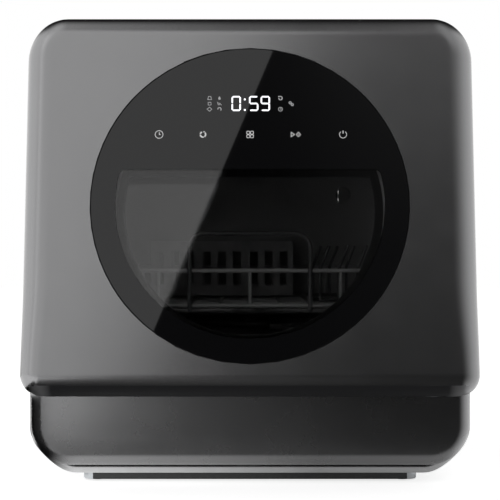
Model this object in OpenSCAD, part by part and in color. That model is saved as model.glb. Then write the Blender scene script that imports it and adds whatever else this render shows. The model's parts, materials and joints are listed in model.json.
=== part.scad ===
// Countertop dishwasher with a drop-down door. Millimetres, +Z up, front towards -Y.
// Origin: middle of the footprint, on the counter.

/* [Body] */
// Overall width, side to side
body_w = 420; // [400:1:460]
// Overall height, counter to the top of the door
body_h = 442; // [430:1:480]
// Overall depth, chin of the door to the rear edge
body_d = 435; // [430:1:470]
// Corner radius of the cabinet at the top
corner_top = 39; // [30:1:44]
// Corner radius of the base at the bottom
corner_base = 44; // [38:1:50]
// Wall of the cabinet shell, base pan and fascia
wall = 2.5; // [2:0.1:3]

/* [Door] */
// Lean of the door from upright, in degrees
door_lean = 7.5; // [6:0.5:9]
// Thickness of the door
door_t = 44; // [42:0.5:48]
// Edge rounding of the door's face
door_edge = 18; // [10:0.5:19]
// Radius of the round glass
glass_r = 146; // [138:1:148]
// Radius of the clear window in it
window_r = 124; // [116:1:126]
// Gap around the glass
glass_gap = 0.6; // [0.3:0.1:1.2]

/* [Tub and rack] */
// Wall of the tub
tub_wall = 1.5; // [1:0.1:3]
// Radius of the tub's rear corners
tub_r = 37; // [25:1:45]
// Radius of the rack's thin wire
wire_r = 1.6; // [1.2:0.1:1.8]
// Radius of the rack's rails and handle wire
rail_r = 2; // [1.7:0.1:2.2]
// Number of plate prongs in a row
prongs = 4; // [3:1:4]
// Spacing of the plate prongs
prong_pitch = 19; // [16:0.5:20]

/* [Spray and fits] */
// Reach of the lower spray arm
lower_reach = 130; // [110:1:135]
// Reach of the upper spray arm
upper_reach = 105; // [80:1:125]
// Radial clearance of a running fit
run_gap = 0.06; // [0.03:0.01:0.09]
// Radius of the water pipes
pipe_r = 8; // [7:0.25:8.5]

/* [Hidden] */
$fn = 64;

half_w = body_w / 2;
front_y = -body_d / 2;          // chin of the door
rear_y = body_d / 2;
chin_z = 112;                   // height of the chin, where the lip starts to roll under
pan_z = 10.8;                   // underside of the base pan
seam_z = pan_z + corner_base + 2;
shell_top = body_h - 2;
fascia_z0 = 19.2;
fascia_top = 88;
base_y = front_y + 67.8;        // front edge of the base pan, behind the fascia
frame_z = fascia_top + 16;      // lower edge of the tub's front frame
function back_y(z) = front_y + door_t / cos(door_lean) + (z - chin_z) * tan(door_lean);
// Door slab in its own frame: x across, y up the slab, z out of its face
lip_v = -19;
top_v = (body_h - chin_z + 13 * sin(door_lean)) / cos(door_lean) - 0.2;
disc_v = (lip_v + top_v) / 2 - 1.68;
door_wall = 2.8;
chin_corner = 20;               // corner radius at the chin
frame_gap = 3;                  // air between the door's back and the front frame
liner_t = 1.6;
liner_w = -door_t + liner_t;    // inner face of the liner sheet
pivot_v = -13;
pivot_w = -door_t + 4.5;
pivot_y = front_y + pivot_v * sin(door_lean) - pivot_w * cos(door_lean);
pivot_z = chin_z + pivot_v * cos(door_lean) + pivot_w * sin(door_lean);
pin_r = 3;
bracket_x = half_w - 42;        // inner side of a hinge bracket
bracket_t = 6;
window_top = 34.2;              // straight upper edge of the clear window, over the disc's centre
// Tub
tub_x = half_w - 45;
tub_y = rear_y - 55.5;
tub_z0 = fascia_top + 57;
tub_z1 = body_h - 42;
tub_front = front_y + 46;
// Sump, filter and pumps
sump_x = half_w - 140;
sump_y = base_y + 89.7;
sump_r = 45;
cup_r = 36;
pump_y = 0;
pump_z = 72;
volute_r = 34;
drain_x = half_w - 70;
drain_y = base_y + 49.7;
arm_z = tub_z0 + 10;
post_r = pipe_r;
low_arm_t = 8;
feed_z = tub_z0 - 19;
riser_y = tub_y + 16;
top_feed_z = tub_z1 + 16;
hang_z = tub_z1 - 27;
// Rear services
panel_y = rear_y - 7.5;         // inner face of the rear panel
pocket_y = panel_y - 28;
service_z = 60;
// Tank and filler
tank_x1 = -half_w + 150;
tank_y0 = base_y + 39.7;
tank_y1 = panel_y - 7;
tank_z0 = 22;
tank_z1 = 130;
tank_t = 3;
float_x = tank_x1 - 50;
float_y = tank_y0 + 30;
float_z = 32;
fill_x = -half_w + 70;
fill_y = rear_y - 87.5;
fill_pipe_x = -half_w + 24;
fill_z = tub_z1 + 17;
fill_r = 27;
lid_r = fill_r + 3.4;
fill_hinge_y = fill_y + fill_r + 10;
fill_hinge_z = shell_top - 3.6;
// Rack
rack_x = tub_x - 17;
rack_y0 = tub_front + 33.5;
rack_y1 = tub_y - 14;
rack_low = tub_z0 + 25.3;
rack_top = tub_z0 + 59;
slide_z = tub_z0 + 38;
glide_ys = [rack_y0 + 38, rack_y1 - 38];
rack_mid = (rack_y0 + rack_y1) / 2;
grid_x = (rack_x - 28) / 4;
grid_y = (rack_y1 - rack_y0 - 90) / 4;
// Latch
latch_z = tub_z1 + 17.5;
latch_y = back_y(latch_z) + 37.9;
latch_up = 12;                  // angle the hook is lifted by at rest
bar_y = latch_y - 43;
bar_z = latch_z - 5.5;
// Fan
fan_x = half_w - 70;
fan_z = tub_z0 + 145;
fan_r = 42;
duct_x = fan_x - 28;

// ---------- helpers ----------
module on_door() translate([0, front_y, chin_z]) rotate([90 - door_lean, 0, 0]) children();
function door_v(y, z) = (y - front_y) * sin(door_lean) + (z - chin_z) * cos(door_lean);
function door_w(y, z) = -(y - front_y) * cos(door_lean) + (z - chin_z) * sin(door_lean);

// Rounded rectangle with one radius for the lower corners and one for the upper
module rrect(x0, y0, x1, y1, rb, rt) {
    translate([x0, y0 + rb]) square([x1 - x0, y1 - y0 - rb - rt]);
    translate([x0 + rb, y0]) square([x1 - x0 - 2 * rb, rb]);
    translate([x0 + rt, y1 - rt]) square([x1 - x0 - 2 * rt, rt]);
    for (s = [x0 + rb, x1 - rb]) translate([s, y0 + rb]) circle(rb);
    for (s = [x0 + rt, x1 - rt]) translate([s, y1 - rt]) circle(rt);
}
module body_section(i)
    rrect(-half_w + i, pan_z + i, half_w - i, shell_top - i, corner_base - i, corner_top - i);
module along_y(y0, y1) translate([0, y1, 0]) rotate([90, 0, 0]) linear_extrude(y1 - y0) children();
module along_x(x0, x1) translate([x0, 0, 0]) rotate([90, 0, 90]) linear_extrude(x1 - x0) children();
module body_tube(i0, i1, y0, y1) along_y(y0, y1) difference() { body_section(i0); body_section(i1); }
module in_body(i) intersection() { along_y(front_y, rear_y) body_section(i); children(); }
module span(p, q) translate(p) cube(q - p);
module rod(a, b, r) {
    d = b - a;
    len = norm(d);
    translate(a) rotate([0, acos(d[2] / len), atan2(d[1], d[0])]) cylinder(h = len, r = r);
}
module run(p, r) {
    for (i = [1:len(p) - 1]) rod(p[i - 1], p[i], r);
    if (len(p) > 2) for (i = [1:len(p) - 2]) translate(p[i]) sphere(r + 0.6);
}
// The same path with both ends lengthened, for a bore that leaves its pipe open
function longer(p, e) = let (n = len(p) - 1, a = p[0] - p[1], b = p[n] - p[n - 1])
    [for (i = [0:n]) i == 0 ? p[0] + a / norm(a) * e : i == n ? p[n] + b / norm(b) * e : p[i]];
module hollow_run(p, r, bore) difference() {
    run(p, r);
    run(longer(p, 1), bore);
}
// Slab with rounded corners and a rounded front edge, face at the top of its depth
module edge_profile(r, f, depth) {
    intersection() {
        translate([r - f, depth - f]) circle(f);
        square([r, depth]);
    }
    square([r, depth - f]);
    if (r > f) square([r - f, depth]);
}
module pillow(x0, y0, x1, y1, rb, rt, f, depth) {
    translate([x0 + rb, y0 + rb, 0]) cube([x1 - x0 - 2 * rb, y1 - y0 - rb - rt, depth]);
    for (s = [0, 1]) translate([s ? x1 - rb : x0 + rb, 0, 0]) mirror([1 - s, 0, 0])
        translate([0, y1 - rt, 0]) rotate([90, 0, 0])
            linear_extrude(y1 - rt - y0 - rb) edge_profile(rb, f, depth);
    translate([x0 + rb, y0 + rb, 0]) rotate([90, 0, 90]) mirror([1, 0, 0])
        linear_extrude(x1 - x0 - 2 * rb) edge_profile(rb, f, depth);
    translate([x0 + rt, y1 - rt, 0]) rotate([90, 0, 90]) linear_extrude(x1 - x0 - 2 * rt)
        edge_profile(rt, f, depth);
    for (c = [[x0 + rt, y1 - rt, rt, 90], [x1 - rt, y1 - rt, rt, 0],
              [x0 + rb, y0 + rb, rb, 180], [x1 - rb, y0 + rb, rb, 270]])
        translate([c[0], c[1], 0]) rotate([0, 0, c[3]])
            rotate_extrude(angle = 90) edge_profile(c[2], f, depth);
}
// Clear window: a circle cut off by a straight upper edge
module window_shape(r, top) intersection() {
    circle(r);
    translate([-r, -r]) square([2 * r, r + top]);
}

// ---------- door ----------
module door_blank(i) translate([0, 0, -door_t]) pillow(-half_w + i, lip_v + i, half_w - i, top_v - i,
    chin_corner - i, corner_top - i, door_edge - i, door_t - i);
// Room for the hinge brackets at the foot of the door
module hinge_notches() for (s = [-1, 1]) translate([s * (bracket_x + bracket_t / 2), 0, 0])
    translate([-11, lip_v - 1, -door_t - 3]) cube([22, pivot_v + 10 - lip_v + 1, pivot_w + 10 + door_t + 3]);
module latch_slot(extra) {
    v0 = door_v(bar_y, bar_z - 12);
    translate([-9 - extra, v0, -door_t - 1]) cube([18 + 2 * extra, 30, 12]);
}
module door_frame() color([0.25, 0.25, 0.26]) on_door() difference() {
    union() {
        difference() {
            door_blank(0);
            translate([0, 0, -0.01]) door_blank(door_wall);
        }
        // seat of the glass
        translate([0, disc_v, -7]) difference() {
            cylinder(r = glass_r + glass_gap + 3, h = 5);
            translate([0, 0, -1]) cylinder(r = glass_r - 7, h = 7);
        }
    }
    translate([0, disc_v, -4.6]) cylinder(r = glass_r + glass_gap, h = 10);
    hinge_notches();
}
module door_glass() color([0.02, 0.02, 0.02])
    on_door() translate([0, disc_v, -4]) cylinder(r = glass_r, h = 4);
module glass_bed() color([0.1, 0.1, 0.1]) on_door() translate([0, disc_v, -4.6]) difference() {
    cylinder(r = glass_r - 0.5, h = 0.6);
    translate([0, 0, -1]) cylinder(r = glass_r - 6.5, h = 3);
}
liner_win_r = window_r - 6;
liner_win_top = window_top - 2;
module inner_liner() color([0.75, 0.76, 0.77]) on_door() difference() {
    i = door_wall;
    translate([0, 0, -door_t]) linear_extrude(liner_t)
        rrect(-half_w + i, lip_v + i, half_w - i, top_v - i, chin_corner - i, corner_top - i);
    translate([0, disc_v, -door_t - 1]) linear_extrude(4) window_shape(liner_win_r, liner_win_top);
    translate([cup_x0, disc_v + cup_v0, -door_t - 1]) cube([cup_w, cup_h, 4]);
    hinge_notches();
    latch_slot(0);
    for (p = liner_screw_at) translate([p[0], p[1], -door_t - 1]) cylinder(r = 1.6, h = 4);
}
liner_screw_at = [for (s = [-1, 1]) for (v = [30, 110, 190, 270]) [s * (half_w - 14), v]];
module inner_window() color([0.8, 0.85, 0.85, 0.4])
    on_door() translate([0, disc_v, liner_w + 1]) linear_extrude(4)
        window_shape(liner_win_r + 8, liner_win_top + 8);
module window_seal() color([0.15, 0.15, 0.15]) on_door() translate([0, disc_v, liner_w]) difference() {
    linear_extrude(1) window_shape(liner_win_r + 8, liner_win_top + 8);
    translate([0, 0, -1]) linear_extrude(3) window_shape(liner_win_r + 1, liner_win_top + 1);
}
module display_board() color([0.1, 0.35, 0.2]) on_door() {
    translate([-88, disc_v + 52, -14]) cube([176, 58, 1.6]);
    for (x = [-80, 80]) for (v = [58, 104]) translate([x, disc_v + v, -12.4]) cylinder(r = 2.5, h = 8.4);
    translate([-20, disc_v + 85, -12.4]) cube([40, 18.5, 8.2]);
    for (x = [-37, -29, 29, 37]) for (v = [86, 96]) translate([x - 2, disc_v + v - 1, -12.4])
        cube([4, 3, 8.2]);
}
module key_springs() color([0.8, 0.7, 0.4]) on_door()
    for (x = [-84, -43.5, 0, 42, 84]) translate([x * 0.99, disc_v + 66, -12.4]) difference() {
        cylinder(r = 4.2, h = 8.3);
        translate([0, 0, -1]) cylinder(r = 3, h = 8);
    }
// Detergent cup in the liner, with a lid that slides aside in two rails
cup_x0 = 35;
cup_w = 50;
cup_h = 48;
cup_v0 = 52;
cup_depth = 20;
lid_t = 2;
lid_w0 = -door_t - 1.2 - lid_t - 0.2;
module detergent_cup() color([0.55, 0.56, 0.58]) on_door() translate([0, disc_v + cup_v0, 0]) {
    difference() {
        translate([cup_x0, 0, -door_t]) cube([cup_w, cup_h, cup_depth + 2]);
        translate([cup_x0 + 2, 2, -door_t - 1]) cube([cup_w - 4, cup_h - 4, cup_depth + 1]);
    }
    difference() {
        translate([cup_x0 - 64, -7, -door_t - 1.2]) cube([cup_w + 68, cup_h + 14, 1.2]);
        translate([cup_x0 + 2, 2, -door_t - 2]) cube([cup_w - 4, cup_h - 4, 4]);
        translate([cup_x0 - 60, 2, -door_t - 2]) cube([54, cup_h - 4, 4]);
    }
    for (v = [-7, cup_h + 3.6]) translate([cup_x0 - 64, v, -door_t - 5.4]) cube([cup_w + 68, 3.4, 4.2]);
    for (v = [-3.6, cup_h]) translate([cup_x0 - 64, v, -door_t - 5.4]) cube([cup_w + 68, 3.6, 1.4]);
}
module detergent_lid() color([0.35, 0.36, 0.38]) on_door() translate([0, disc_v + cup_v0, 0]) {
    translate([cup_x0 - 2, -3.2, lid_w0]) cube([cup_w + 4, cup_h + 6.4, lid_t]);
    translate([cup_x0 + cup_w - 8, 6, lid_w0 - 2.6]) cube([4, cup_h - 12, 2.6]);
}
module hinge_arms() color([0.7, 0.71, 0.72]) on_door()
    for (s = [-1, 1]) for (k = [-1, 1]) {
        x0 = s * (bracket_x + bracket_t / 2) + k * (bracket_t / 2 + 2.7) - 2.4;
        difference() {
            union() {
                translate([x0, pivot_v, pivot_w]) rotate([0, 90, 0]) cylinder(r = 6, h = 4.8);
                translate([x0, pivot_v, liner_w]) cube([4.8, 50, 8]);
            }
            translate([x0 - 1, pivot_v, pivot_w]) rotate([0, 90, 0]) cylinder(r = pin_r + run_gap, h = 7);
        }
    }
module door_striker() color([0.8, 0.8, 0.82]) on_door() {
    bv = door_v(bar_y, bar_z);
    bw = door_w(bar_y, bar_z);
    difference() {
        translate([-13, bv - 15, liner_w]) cube([26, 36, 10]);
        latch_slot(0);
        translate([-9, bv - 12.5, liner_w - 1]) cube([18, 31.2, 13]);
    }
    translate([-10, bv, bw]) rotate([0, 90, 0]) cylinder(r = 2, h = 20);
}
module liner_screws() color([0.75, 0.75, 0.77])
    on_door() for (p = liner_screw_at) translate([p[0], p[1], -door_t]) {
        translate([0, 0, -1.2]) cylinder(r = 3, h = 1.2);
        cylinder(r = 1.6, h = 9);
    }

// ---------- cabinet ----------
module below_seam() span([-half_w - 1, front_y - 1, -1], [half_w + 1, rear_y + 1, seam_z]);
module base_pan() color([0.3, 0.3, 0.31]) intersection() {
    body_tube(0, wall, base_y, rear_y);
    below_seam();
}
plinth_x = half_w - 47;
plinth_y0 = base_y + 24.7;
plinth_y1 = rear_y - 67.5;
plinth_z = 0.9;                 // height of the plinth's rim over the counter
module plinth() color([0.08, 0.08, 0.08]) difference() {
    translate([0, 0, plinth_z]) linear_extrude(pan_z - plinth_z)
        rrect(-plinth_x, plinth_y0, plinth_x, plinth_y1, 10, 10);
    translate([0, 0, -1]) linear_extrude(pan_z - 1) rrect(-plinth_x + 3, plinth_y0 + 3, plinth_x - 3,
        plinth_y1 - 3, 7, 7);
    for (p = foot_at) translate([p[0], p[1], 0]) cylinder(r = 10.5, h = pan_z - 2);
}
foot_in = 14.2;
foot_at = [for (x = [-plinth_x + foot_in, plinth_x - foot_in])
    for (y = [plinth_y0 + foot_in, plinth_y1 - foot_in]) [x, y]];
module foot_pads() color([0.05, 0.05, 0.05]) for (p = foot_at) translate([p[0], p[1], 0]) {
    cylinder(r = 10.5, h = pan_z - 2);
}
module front_fascia() color([0.27, 0.27, 0.28]) intersection() {
    translate([0, base_y, 0]) rotate([90, 0, 0]) difference() {
        pillow(-half_w + 0.8, fascia_z0, half_w - 0.8, fascia_top + 20, corner_base - 4, 14, 12.5, 13);
        translate([0, 0, -0.01]) pillow(-half_w + 0.8 + wall, fascia_z0 + wall, half_w - 0.8 - wall,
            fascia_top + 20 - wall, corner_base - 4 - wall, 14 - wall, 12.5 - wall, 13 - wall);
    }
    span([-half_w, front_y, 0], [half_w, rear_y, fascia_top]);
}
// Everything in front of a plane that lies a given distance behind the door's back
module ahead_of(back) on_door() translate([-half_w - 10, -200, -door_t - back]) cube([body_w + 20, 700, 200]);
module cabinet_shell() color([0.27, 0.27, 0.28]) difference() {
    body_tube(0, wall, front_y + 20, rear_y);
    below_seam();
    ahead_of(frame_gap);
    span([-half_w - 1, front_y - 1, 0], [half_w + 1, base_y, frame_z]);
    translate([fill_x, fill_y, shell_top - 10]) cylinder(r = fill_r + 4, h = 20);
    span([fill_x - 12, fill_y, shell_top - 10], [fill_x + 12, fill_hinge_y + 5, shell_top + 10]);
}
opening_r = 20;
module tub_opening(i) rrect(-tub_x - i, tub_z0 - i, tub_x + i, tub_z1 + i, opening_r + i, opening_r + i);
module front_frame() color([0.35, 0.35, 0.36]) difference() {
    union() {
        in_body(wall) difference() {
            span([-half_w, front_y, frame_z], [half_w, -40, body_h]);
            ahead_of(frame_gap);
            on_door() translate([-half_w - 10, -200, -door_t - frame_gap - 3 - 300])
                cube([body_w + 20, 700, 300]);
        }
        in_body(wall) difference() {
            span([-half_w, front_y + 20, frame_z], [half_w, base_y + wall, frame_z + wall]);
            ahead_of(frame_gap);
        }
        in_body(wall) span([-half_w, base_y, fascia_top - 6], [half_w, base_y + wall, frame_z + wall]);
    }
    along_y(front_y, 0) tub_opening(0);
    for (s = [-1, 1]) translate([s * (bracket_x + bracket_t / 2), 0, 0])
        span([-5, front_y, 0], [5, base_y + 10, frame_z + wall + 1]);
    span([-7, front_y, latch_z - 4], [7, 0, latch_z + 13]);
}
module door_gasket() color([0.12, 0.12, 0.12]) difference() {
    along_y(front_y, 0) difference() { tub_opening(12); tub_opening(4); }
    ahead_of(0.3);
    on_door() translate([-half_w - 10, -200, -door_t - frame_gap - 300]) cube([body_w + 20, 700, 300]);
}
pocket_x = half_w - 65;
pocket_w = 50;
module rear_panel() color([0.6, 0.61, 0.62]) {
    difference() {
        along_y(panel_y, panel_y + 2) body_section(wall);
        span([pocket_x - pocket_w, 0, 35], [pocket_x + pocket_w, rear_y, 100]);
        span([fan_x - 36, 0, fan_z - 36], [fan_x + 36, rear_y, fan_z + 36]);
        for (p = rear_screw_at) translate([p[0], 0, p[1]]) rotate([-90, 0, 0]) cylinder(r = 1.6, h = rear_y);
    }
    difference() {
        span([pocket_x - pocket_w, pocket_y, 35], [pocket_x + pocket_w, panel_y + 2, 100]);
        span([pocket_x - pocket_w + 2, pocket_y + 2, 37], [pocket_x + pocket_w - 2, rear_y, 98]);
        for (h = service_holes) translate([h[0], 0, h[1]]) rotate([-90, 0, 0]) cylinder(r = h[2], h = rear_y);
    }
}
inlet_x = pocket_x - 27;
spigot_x = pocket_x + 27;
gland_x = pocket_x;
gland_z = 84;
inlet_r = 13.2;
spigot_r = 10;
gland_r = 6;
service_holes = [[inlet_x, service_z, inlet_r - 2], [spigot_x, service_z, spigot_r - 2],
    [gland_x, gland_z, gland_r]];
rear_screw_at = [for (s = [-1, 1]) for (k = [0.27, 0.48, 0.7, 0.92]) [s * (half_w - 16), k * shell_top]];
module rear_screws() color([0.7, 0.7, 0.72]) for (p = rear_screw_at) translate([p[0], panel_y, p[1]])
    rotate([-90, 0, 0]) {
        translate([0, 0, 2]) cylinder(r = 3.2, h = 1.8);
        translate([0, 0, -6]) cylinder(r = 1.6, h = 8);
    }
module vent_grille() color([0.15, 0.15, 0.15]) {
    difference() {
        span([fan_x - 36, panel_y, fan_z - 36], [fan_x + 36, panel_y + 3.5, fan_z + 36]);
        span([fan_x - 31, 0, fan_z - 31], [fan_x + 31, rear_y, fan_z + 31]);
    }
    for (i = [-3:3]) translate([fan_x, panel_y, fan_z + i * 8.4]) span([-31, 0.6, -1.2], [31, 3, 1.2]);
}

// ---------- tub ----------
module tub_solid(i, z0, z1) translate([0, 0, z0]) linear_extrude(z1 - z0)
    rrect(-tub_x - i, front_y + 30, tub_x + i, tub_y + i, 10, tub_r + i);
heat_r = 95;
heat_a = 280;
heat_rod = 3.2;
heat_ends = [[heat_r, 0], [heat_r * cos(heat_a), heat_r * sin(heat_a)]];
module tub() color([0.78, 0.79, 0.8]) difference() {
    tub_solid(tub_wall, tub_z0 - tub_wall, tub_z1 + tub_wall);
    tub_solid(0, tub_z0, tub_z1);
    ahead_of(frame_gap + 3);
    translate([sump_x, sump_y, tub_z0 - 10]) cylinder(r = 40, h = 20);
    translate([0, 0, tub_z0 - 10]) cylinder(r = post_r, h = 20);
    translate([0, 0, tub_z1 - 10]) cylinder(r = post_r, h = 20);
    for (h = heat_ends) translate([h[0], h[1], tub_z0 - 10]) cylinder(r = heat_rod, h = 20);
    translate([duct_x, tub_y - 10, fan_z]) rotate([-90, 0, 0]) cylinder(r = 9, h = 20);
}
module rack_rails() color([0.72, 0.73, 0.74]) for (s = [0, 1]) mirror([s, 0, 0]) {
    y0 = tub_front + 30;
    y1 = tub_y - tub_r;
    span([tub_x - 1.5, y0, slide_z - 7], [tub_x, y1, slide_z + 14]);
    span([tub_x - 8, y0, slide_z - 3], [tub_x - 1.5, y1, slide_z - 0.5]);
    span([tub_x - 8, y0, slide_z + 7.8], [tub_x - 1.5, y1, slide_z + 9.8]);
}
module sump() color([0.2, 0.2, 0.21]) difference() {
    union() {
        translate([sump_x, sump_y, tub_z0 - tub_wall - 44]) cylinder(r = sump_r, h = 44);
        translate([sump_x, sump_y, tub_z0 - tub_wall - 4]) cylinder(r = sump_r + 8, h = 4);
    }
    translate([sump_x, sump_y, tub_z0 - tub_wall - 41.5]) cylinder(r = sump_r - wall, h = 60);
    translate([sump_x, sump_y, 0]) cylinder(r = 9, h = 140);
    rod([sump_x, sump_y, 108], [sump_x + 60, sump_y, 108], 6);
    rod([sump_x, sump_y, 108], [sump_x - 60, sump_y, 108], 4.5);
}
module flat_filter() color([0.7, 0.71, 0.72]) difference() {
    translate([sump_x, sump_y, tub_z0]) cylinder(r = 58, h = 1.2);
    translate([sump_x, sump_y, tub_z0 - 1]) cylinder(r = cup_r + run_gap, h = 4);
    for (a = [0:15:359]) translate([sump_x + 46 * cos(a), sump_y + 46 * sin(a), tub_z0 - 1])
        cylinder(r = 2, h = 4);
}
module filter_cup() color([0.4, 0.41, 0.43]) translate([sump_x, sump_y, 0]) difference() {
    union() {
        translate([0, 0, tub_z0 - 34]) cylinder(r = cup_r, h = 37);
        translate([0, 0, tub_z0 + 1.5]) cylinder(r = cup_r + 2, h = 1.5);
        span([-4, -cup_r + 3, tub_z0 + 2], [4, cup_r - 3, tub_z0 + 6]);
    }
    translate([0, 0, tub_z0 - 32]) cylinder(r = cup_r - 2, h = 34);
    for (x = [-18, 18]) translate([x, 0, tub_z0 - 1]) cylinder(r = 10, h = 8);
    for (a = [0:30:150]) rotate([0, 0, a]) span([-cup_r - 5, -3, tub_z0 - 28], [cup_r + 5, 3, tub_z0 - 6]);
}
module heater() color([0.5, 0.5, 0.52]) {
    translate([0, 0, tub_z0 + 5]) rotate_extrude(angle = heat_a) translate([heat_r, 0]) circle(heat_rod);
    for (h = heat_ends) {
        translate([h[0], h[1], tub_z0 + 5]) sphere(heat_rod + 0.01);
        translate([h[0], h[1], tub_z0 - 20]) cylinder(r = heat_rod, h = 25);
    }
}

// ---------- spray arms ----------
module arm_blade(reach, w, t) linear_extrude(t) {
    translate([-reach + w / 2, -w / 2]) square([2 * reach - w, w]);
    for (s = [-1, 1]) translate([s * (reach - w / 2), 0]) circle(w / 2);
    circle(w * 0.75);
}
module lower_spray_arm() color([0.82, 0.83, 0.84]) translate([0, 0, arm_z]) difference() {
    arm_blade(lower_reach, 26, low_arm_t);
    translate([0, 0, 1.6]) linear_extrude(low_arm_t - 3.2) for (s = [-1, 1])
        translate([s > 0 ? post_r + 4 : -lower_reach + 14, -9]) square([lower_reach - post_r - 18, 18]);
    translate([0, 0, -1]) cylinder(r = post_r + run_gap, h = low_arm_t + 2);
    for (s = [-1, 1]) for (k = [0.35, 0.55, 0.75, 0.9])
        translate([s * k * (lower_reach - 6), s * 6 * (k - 0.5), 3]) cylinder(r = 1.4, h = low_arm_t);
}
module upper_spray_arm() color([0.45, 0.46, 0.48]) translate([0, 0, hang_z + 3]) difference() {
    arm_blade(upper_reach, 22, 8);
    translate([0, 0, -1]) cylinder(r = post_r + run_gap, h = 10);
    for (s = [-1, 1]) for (k = [0.4, 0.65, 0.9]) translate([s * k * (upper_reach - 6), s * 5 * (k - 0.5), -1])
        cylinder(r = 1.4, h = 5);
}
pump_top = pump_z + volute_r;
module spray_feed_pipe() color([0.5, 0.52, 0.54]) {
    bore = pipe_r - 2;
    post_top = arm_z + low_arm_t + 0.3;
    difference() {
        union() {
            run([[sump_x, pump_y, pump_top], [sump_x, pump_y, feed_z], [0, 0, feed_z],
                 [0, 0, post_top]], pipe_r);
            run([[0, 0, feed_z], [0, riser_y, feed_z], [0, riser_y, top_feed_z], [0, 0, top_feed_z],
                 [0, 0, hang_z]], pipe_r);
            translate([0, 0, post_top]) cylinder(r = post_r + 3, h = 1.3);
            translate([0, 0, arm_z - 1.5]) cylinder(r = post_r + 3, h = 1.2);
            translate([0, 0, hang_z]) cylinder(r = post_r + 3, h = 2.7);
            translate([0, 0, hang_z + 11.3]) cylinder(r = post_r + 3, h = 1.2);
        }
        rod([sump_x, pump_y, pump_top - 1], [sump_x, pump_y, feed_z], bore);
        rod([sump_x, pump_y, feed_z], [0, 0, feed_z], bore);
        rod([0, 0, feed_z], [0, 0, post_top - 2], bore);
        rod([0, 0, feed_z], [0, riser_y, feed_z], bore);
        rod([0, riser_y, feed_z], [0, riser_y, top_feed_z], bore);
        rod([0, riser_y, top_feed_z], [0, 0, top_feed_z], bore);
        rod([0, 0, top_feed_z], [0, 0, hang_z + 3], bore);
        for (p = [[sump_x, pump_y, feed_z], [0, 0, feed_z], [0, riser_y, feed_z], [0, riser_y, top_feed_z],
                  [0, 0, top_feed_z]]) translate(p) sphere(bore + 0.3);
    }
}

// ---------- pumps and hoses ----------
module y_cyl(x, z, y0, y1, r) translate([x, y0, z]) rotate([-90, 0, 0]) cylinder(r = r, h = y1 - y0);
module wash_pump() color([0.16, 0.16, 0.17]) difference() {
    union() {
        y_cyl(sump_x, pump_z, pump_y - 14, pump_y + 14, volute_r);
        y_cyl(sump_x, pump_z, pump_y + 14, pump_y + 84, 27);
        y_cyl(sump_x, pump_z, pump_y + 84, pump_y + 88, 22);
        span([sump_x - 20, pump_y + 20, pan_z + wall], [sump_x + 20, pump_y + 70, pump_z]);
    }
    y_cyl(sump_x, pump_z, pump_y - 11.5, pump_y + 11.5, volute_r - wall);
    y_cyl(sump_x, pump_z, pump_y - 20, pump_y, 9);
    y_cyl(sump_x, pump_z, pump_y, pump_y + 60, 3 + run_gap);
    translate([sump_x, pump_y, pump_z + 10]) cylinder(r = pipe_r - 2, h = volute_r);
}
module vanes(r, t, n, shaft) {
    cylinder(r = r, h = 2);
    cylinder(r = shaft + 3, h = t);
    for (i = [0:n - 1]) rotate([0, 0, 360 / n * i]) translate([0, -0.9, 0]) cube([r - 1, 1.8, t]);
}
module wash_impeller() color([0.75, 0.75, 0.72]) {
    translate([sump_x, pump_y + 8, pump_z]) rotate([90, 0, 0]) vanes(26, 14, 6, 3);
    y_cyl(sump_x, pump_z, pump_y + 4, pump_y + 55, 3);
}
module drain_pump() color([0.2, 0.2, 0.22]) translate([drain_x, drain_y, 0]) difference() {
    union() {
        translate([0, 0, pan_z + wall]) cylinder(r = 12, h = 20);
        translate([0, 0, 30]) cylinder(r = 24, h = 22);
        translate([0, 0, 52]) cylinder(r = 20, h = 38);
    }
    translate([0, 0, 32]) cylinder(r = 21.5, h = 18);
    translate([0, 0, 40]) cylinder(r = 2.5 + run_gap, h = 40);
    rod([0, 0, 41], [30, 0, 41], 6);
    rod([10, 0, 41], [10, 30, 41], 6);
}
module drain_impeller() color([0.75, 0.75, 0.72]) translate([drain_x, drain_y, 0]) {
    translate([0, 0, 48]) rotate([180, 0, 0]) vanes(17, 12, 5, 2.5);
    translate([0, 0, 40]) cylinder(r = 2.5, h = 36);
}
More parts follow.
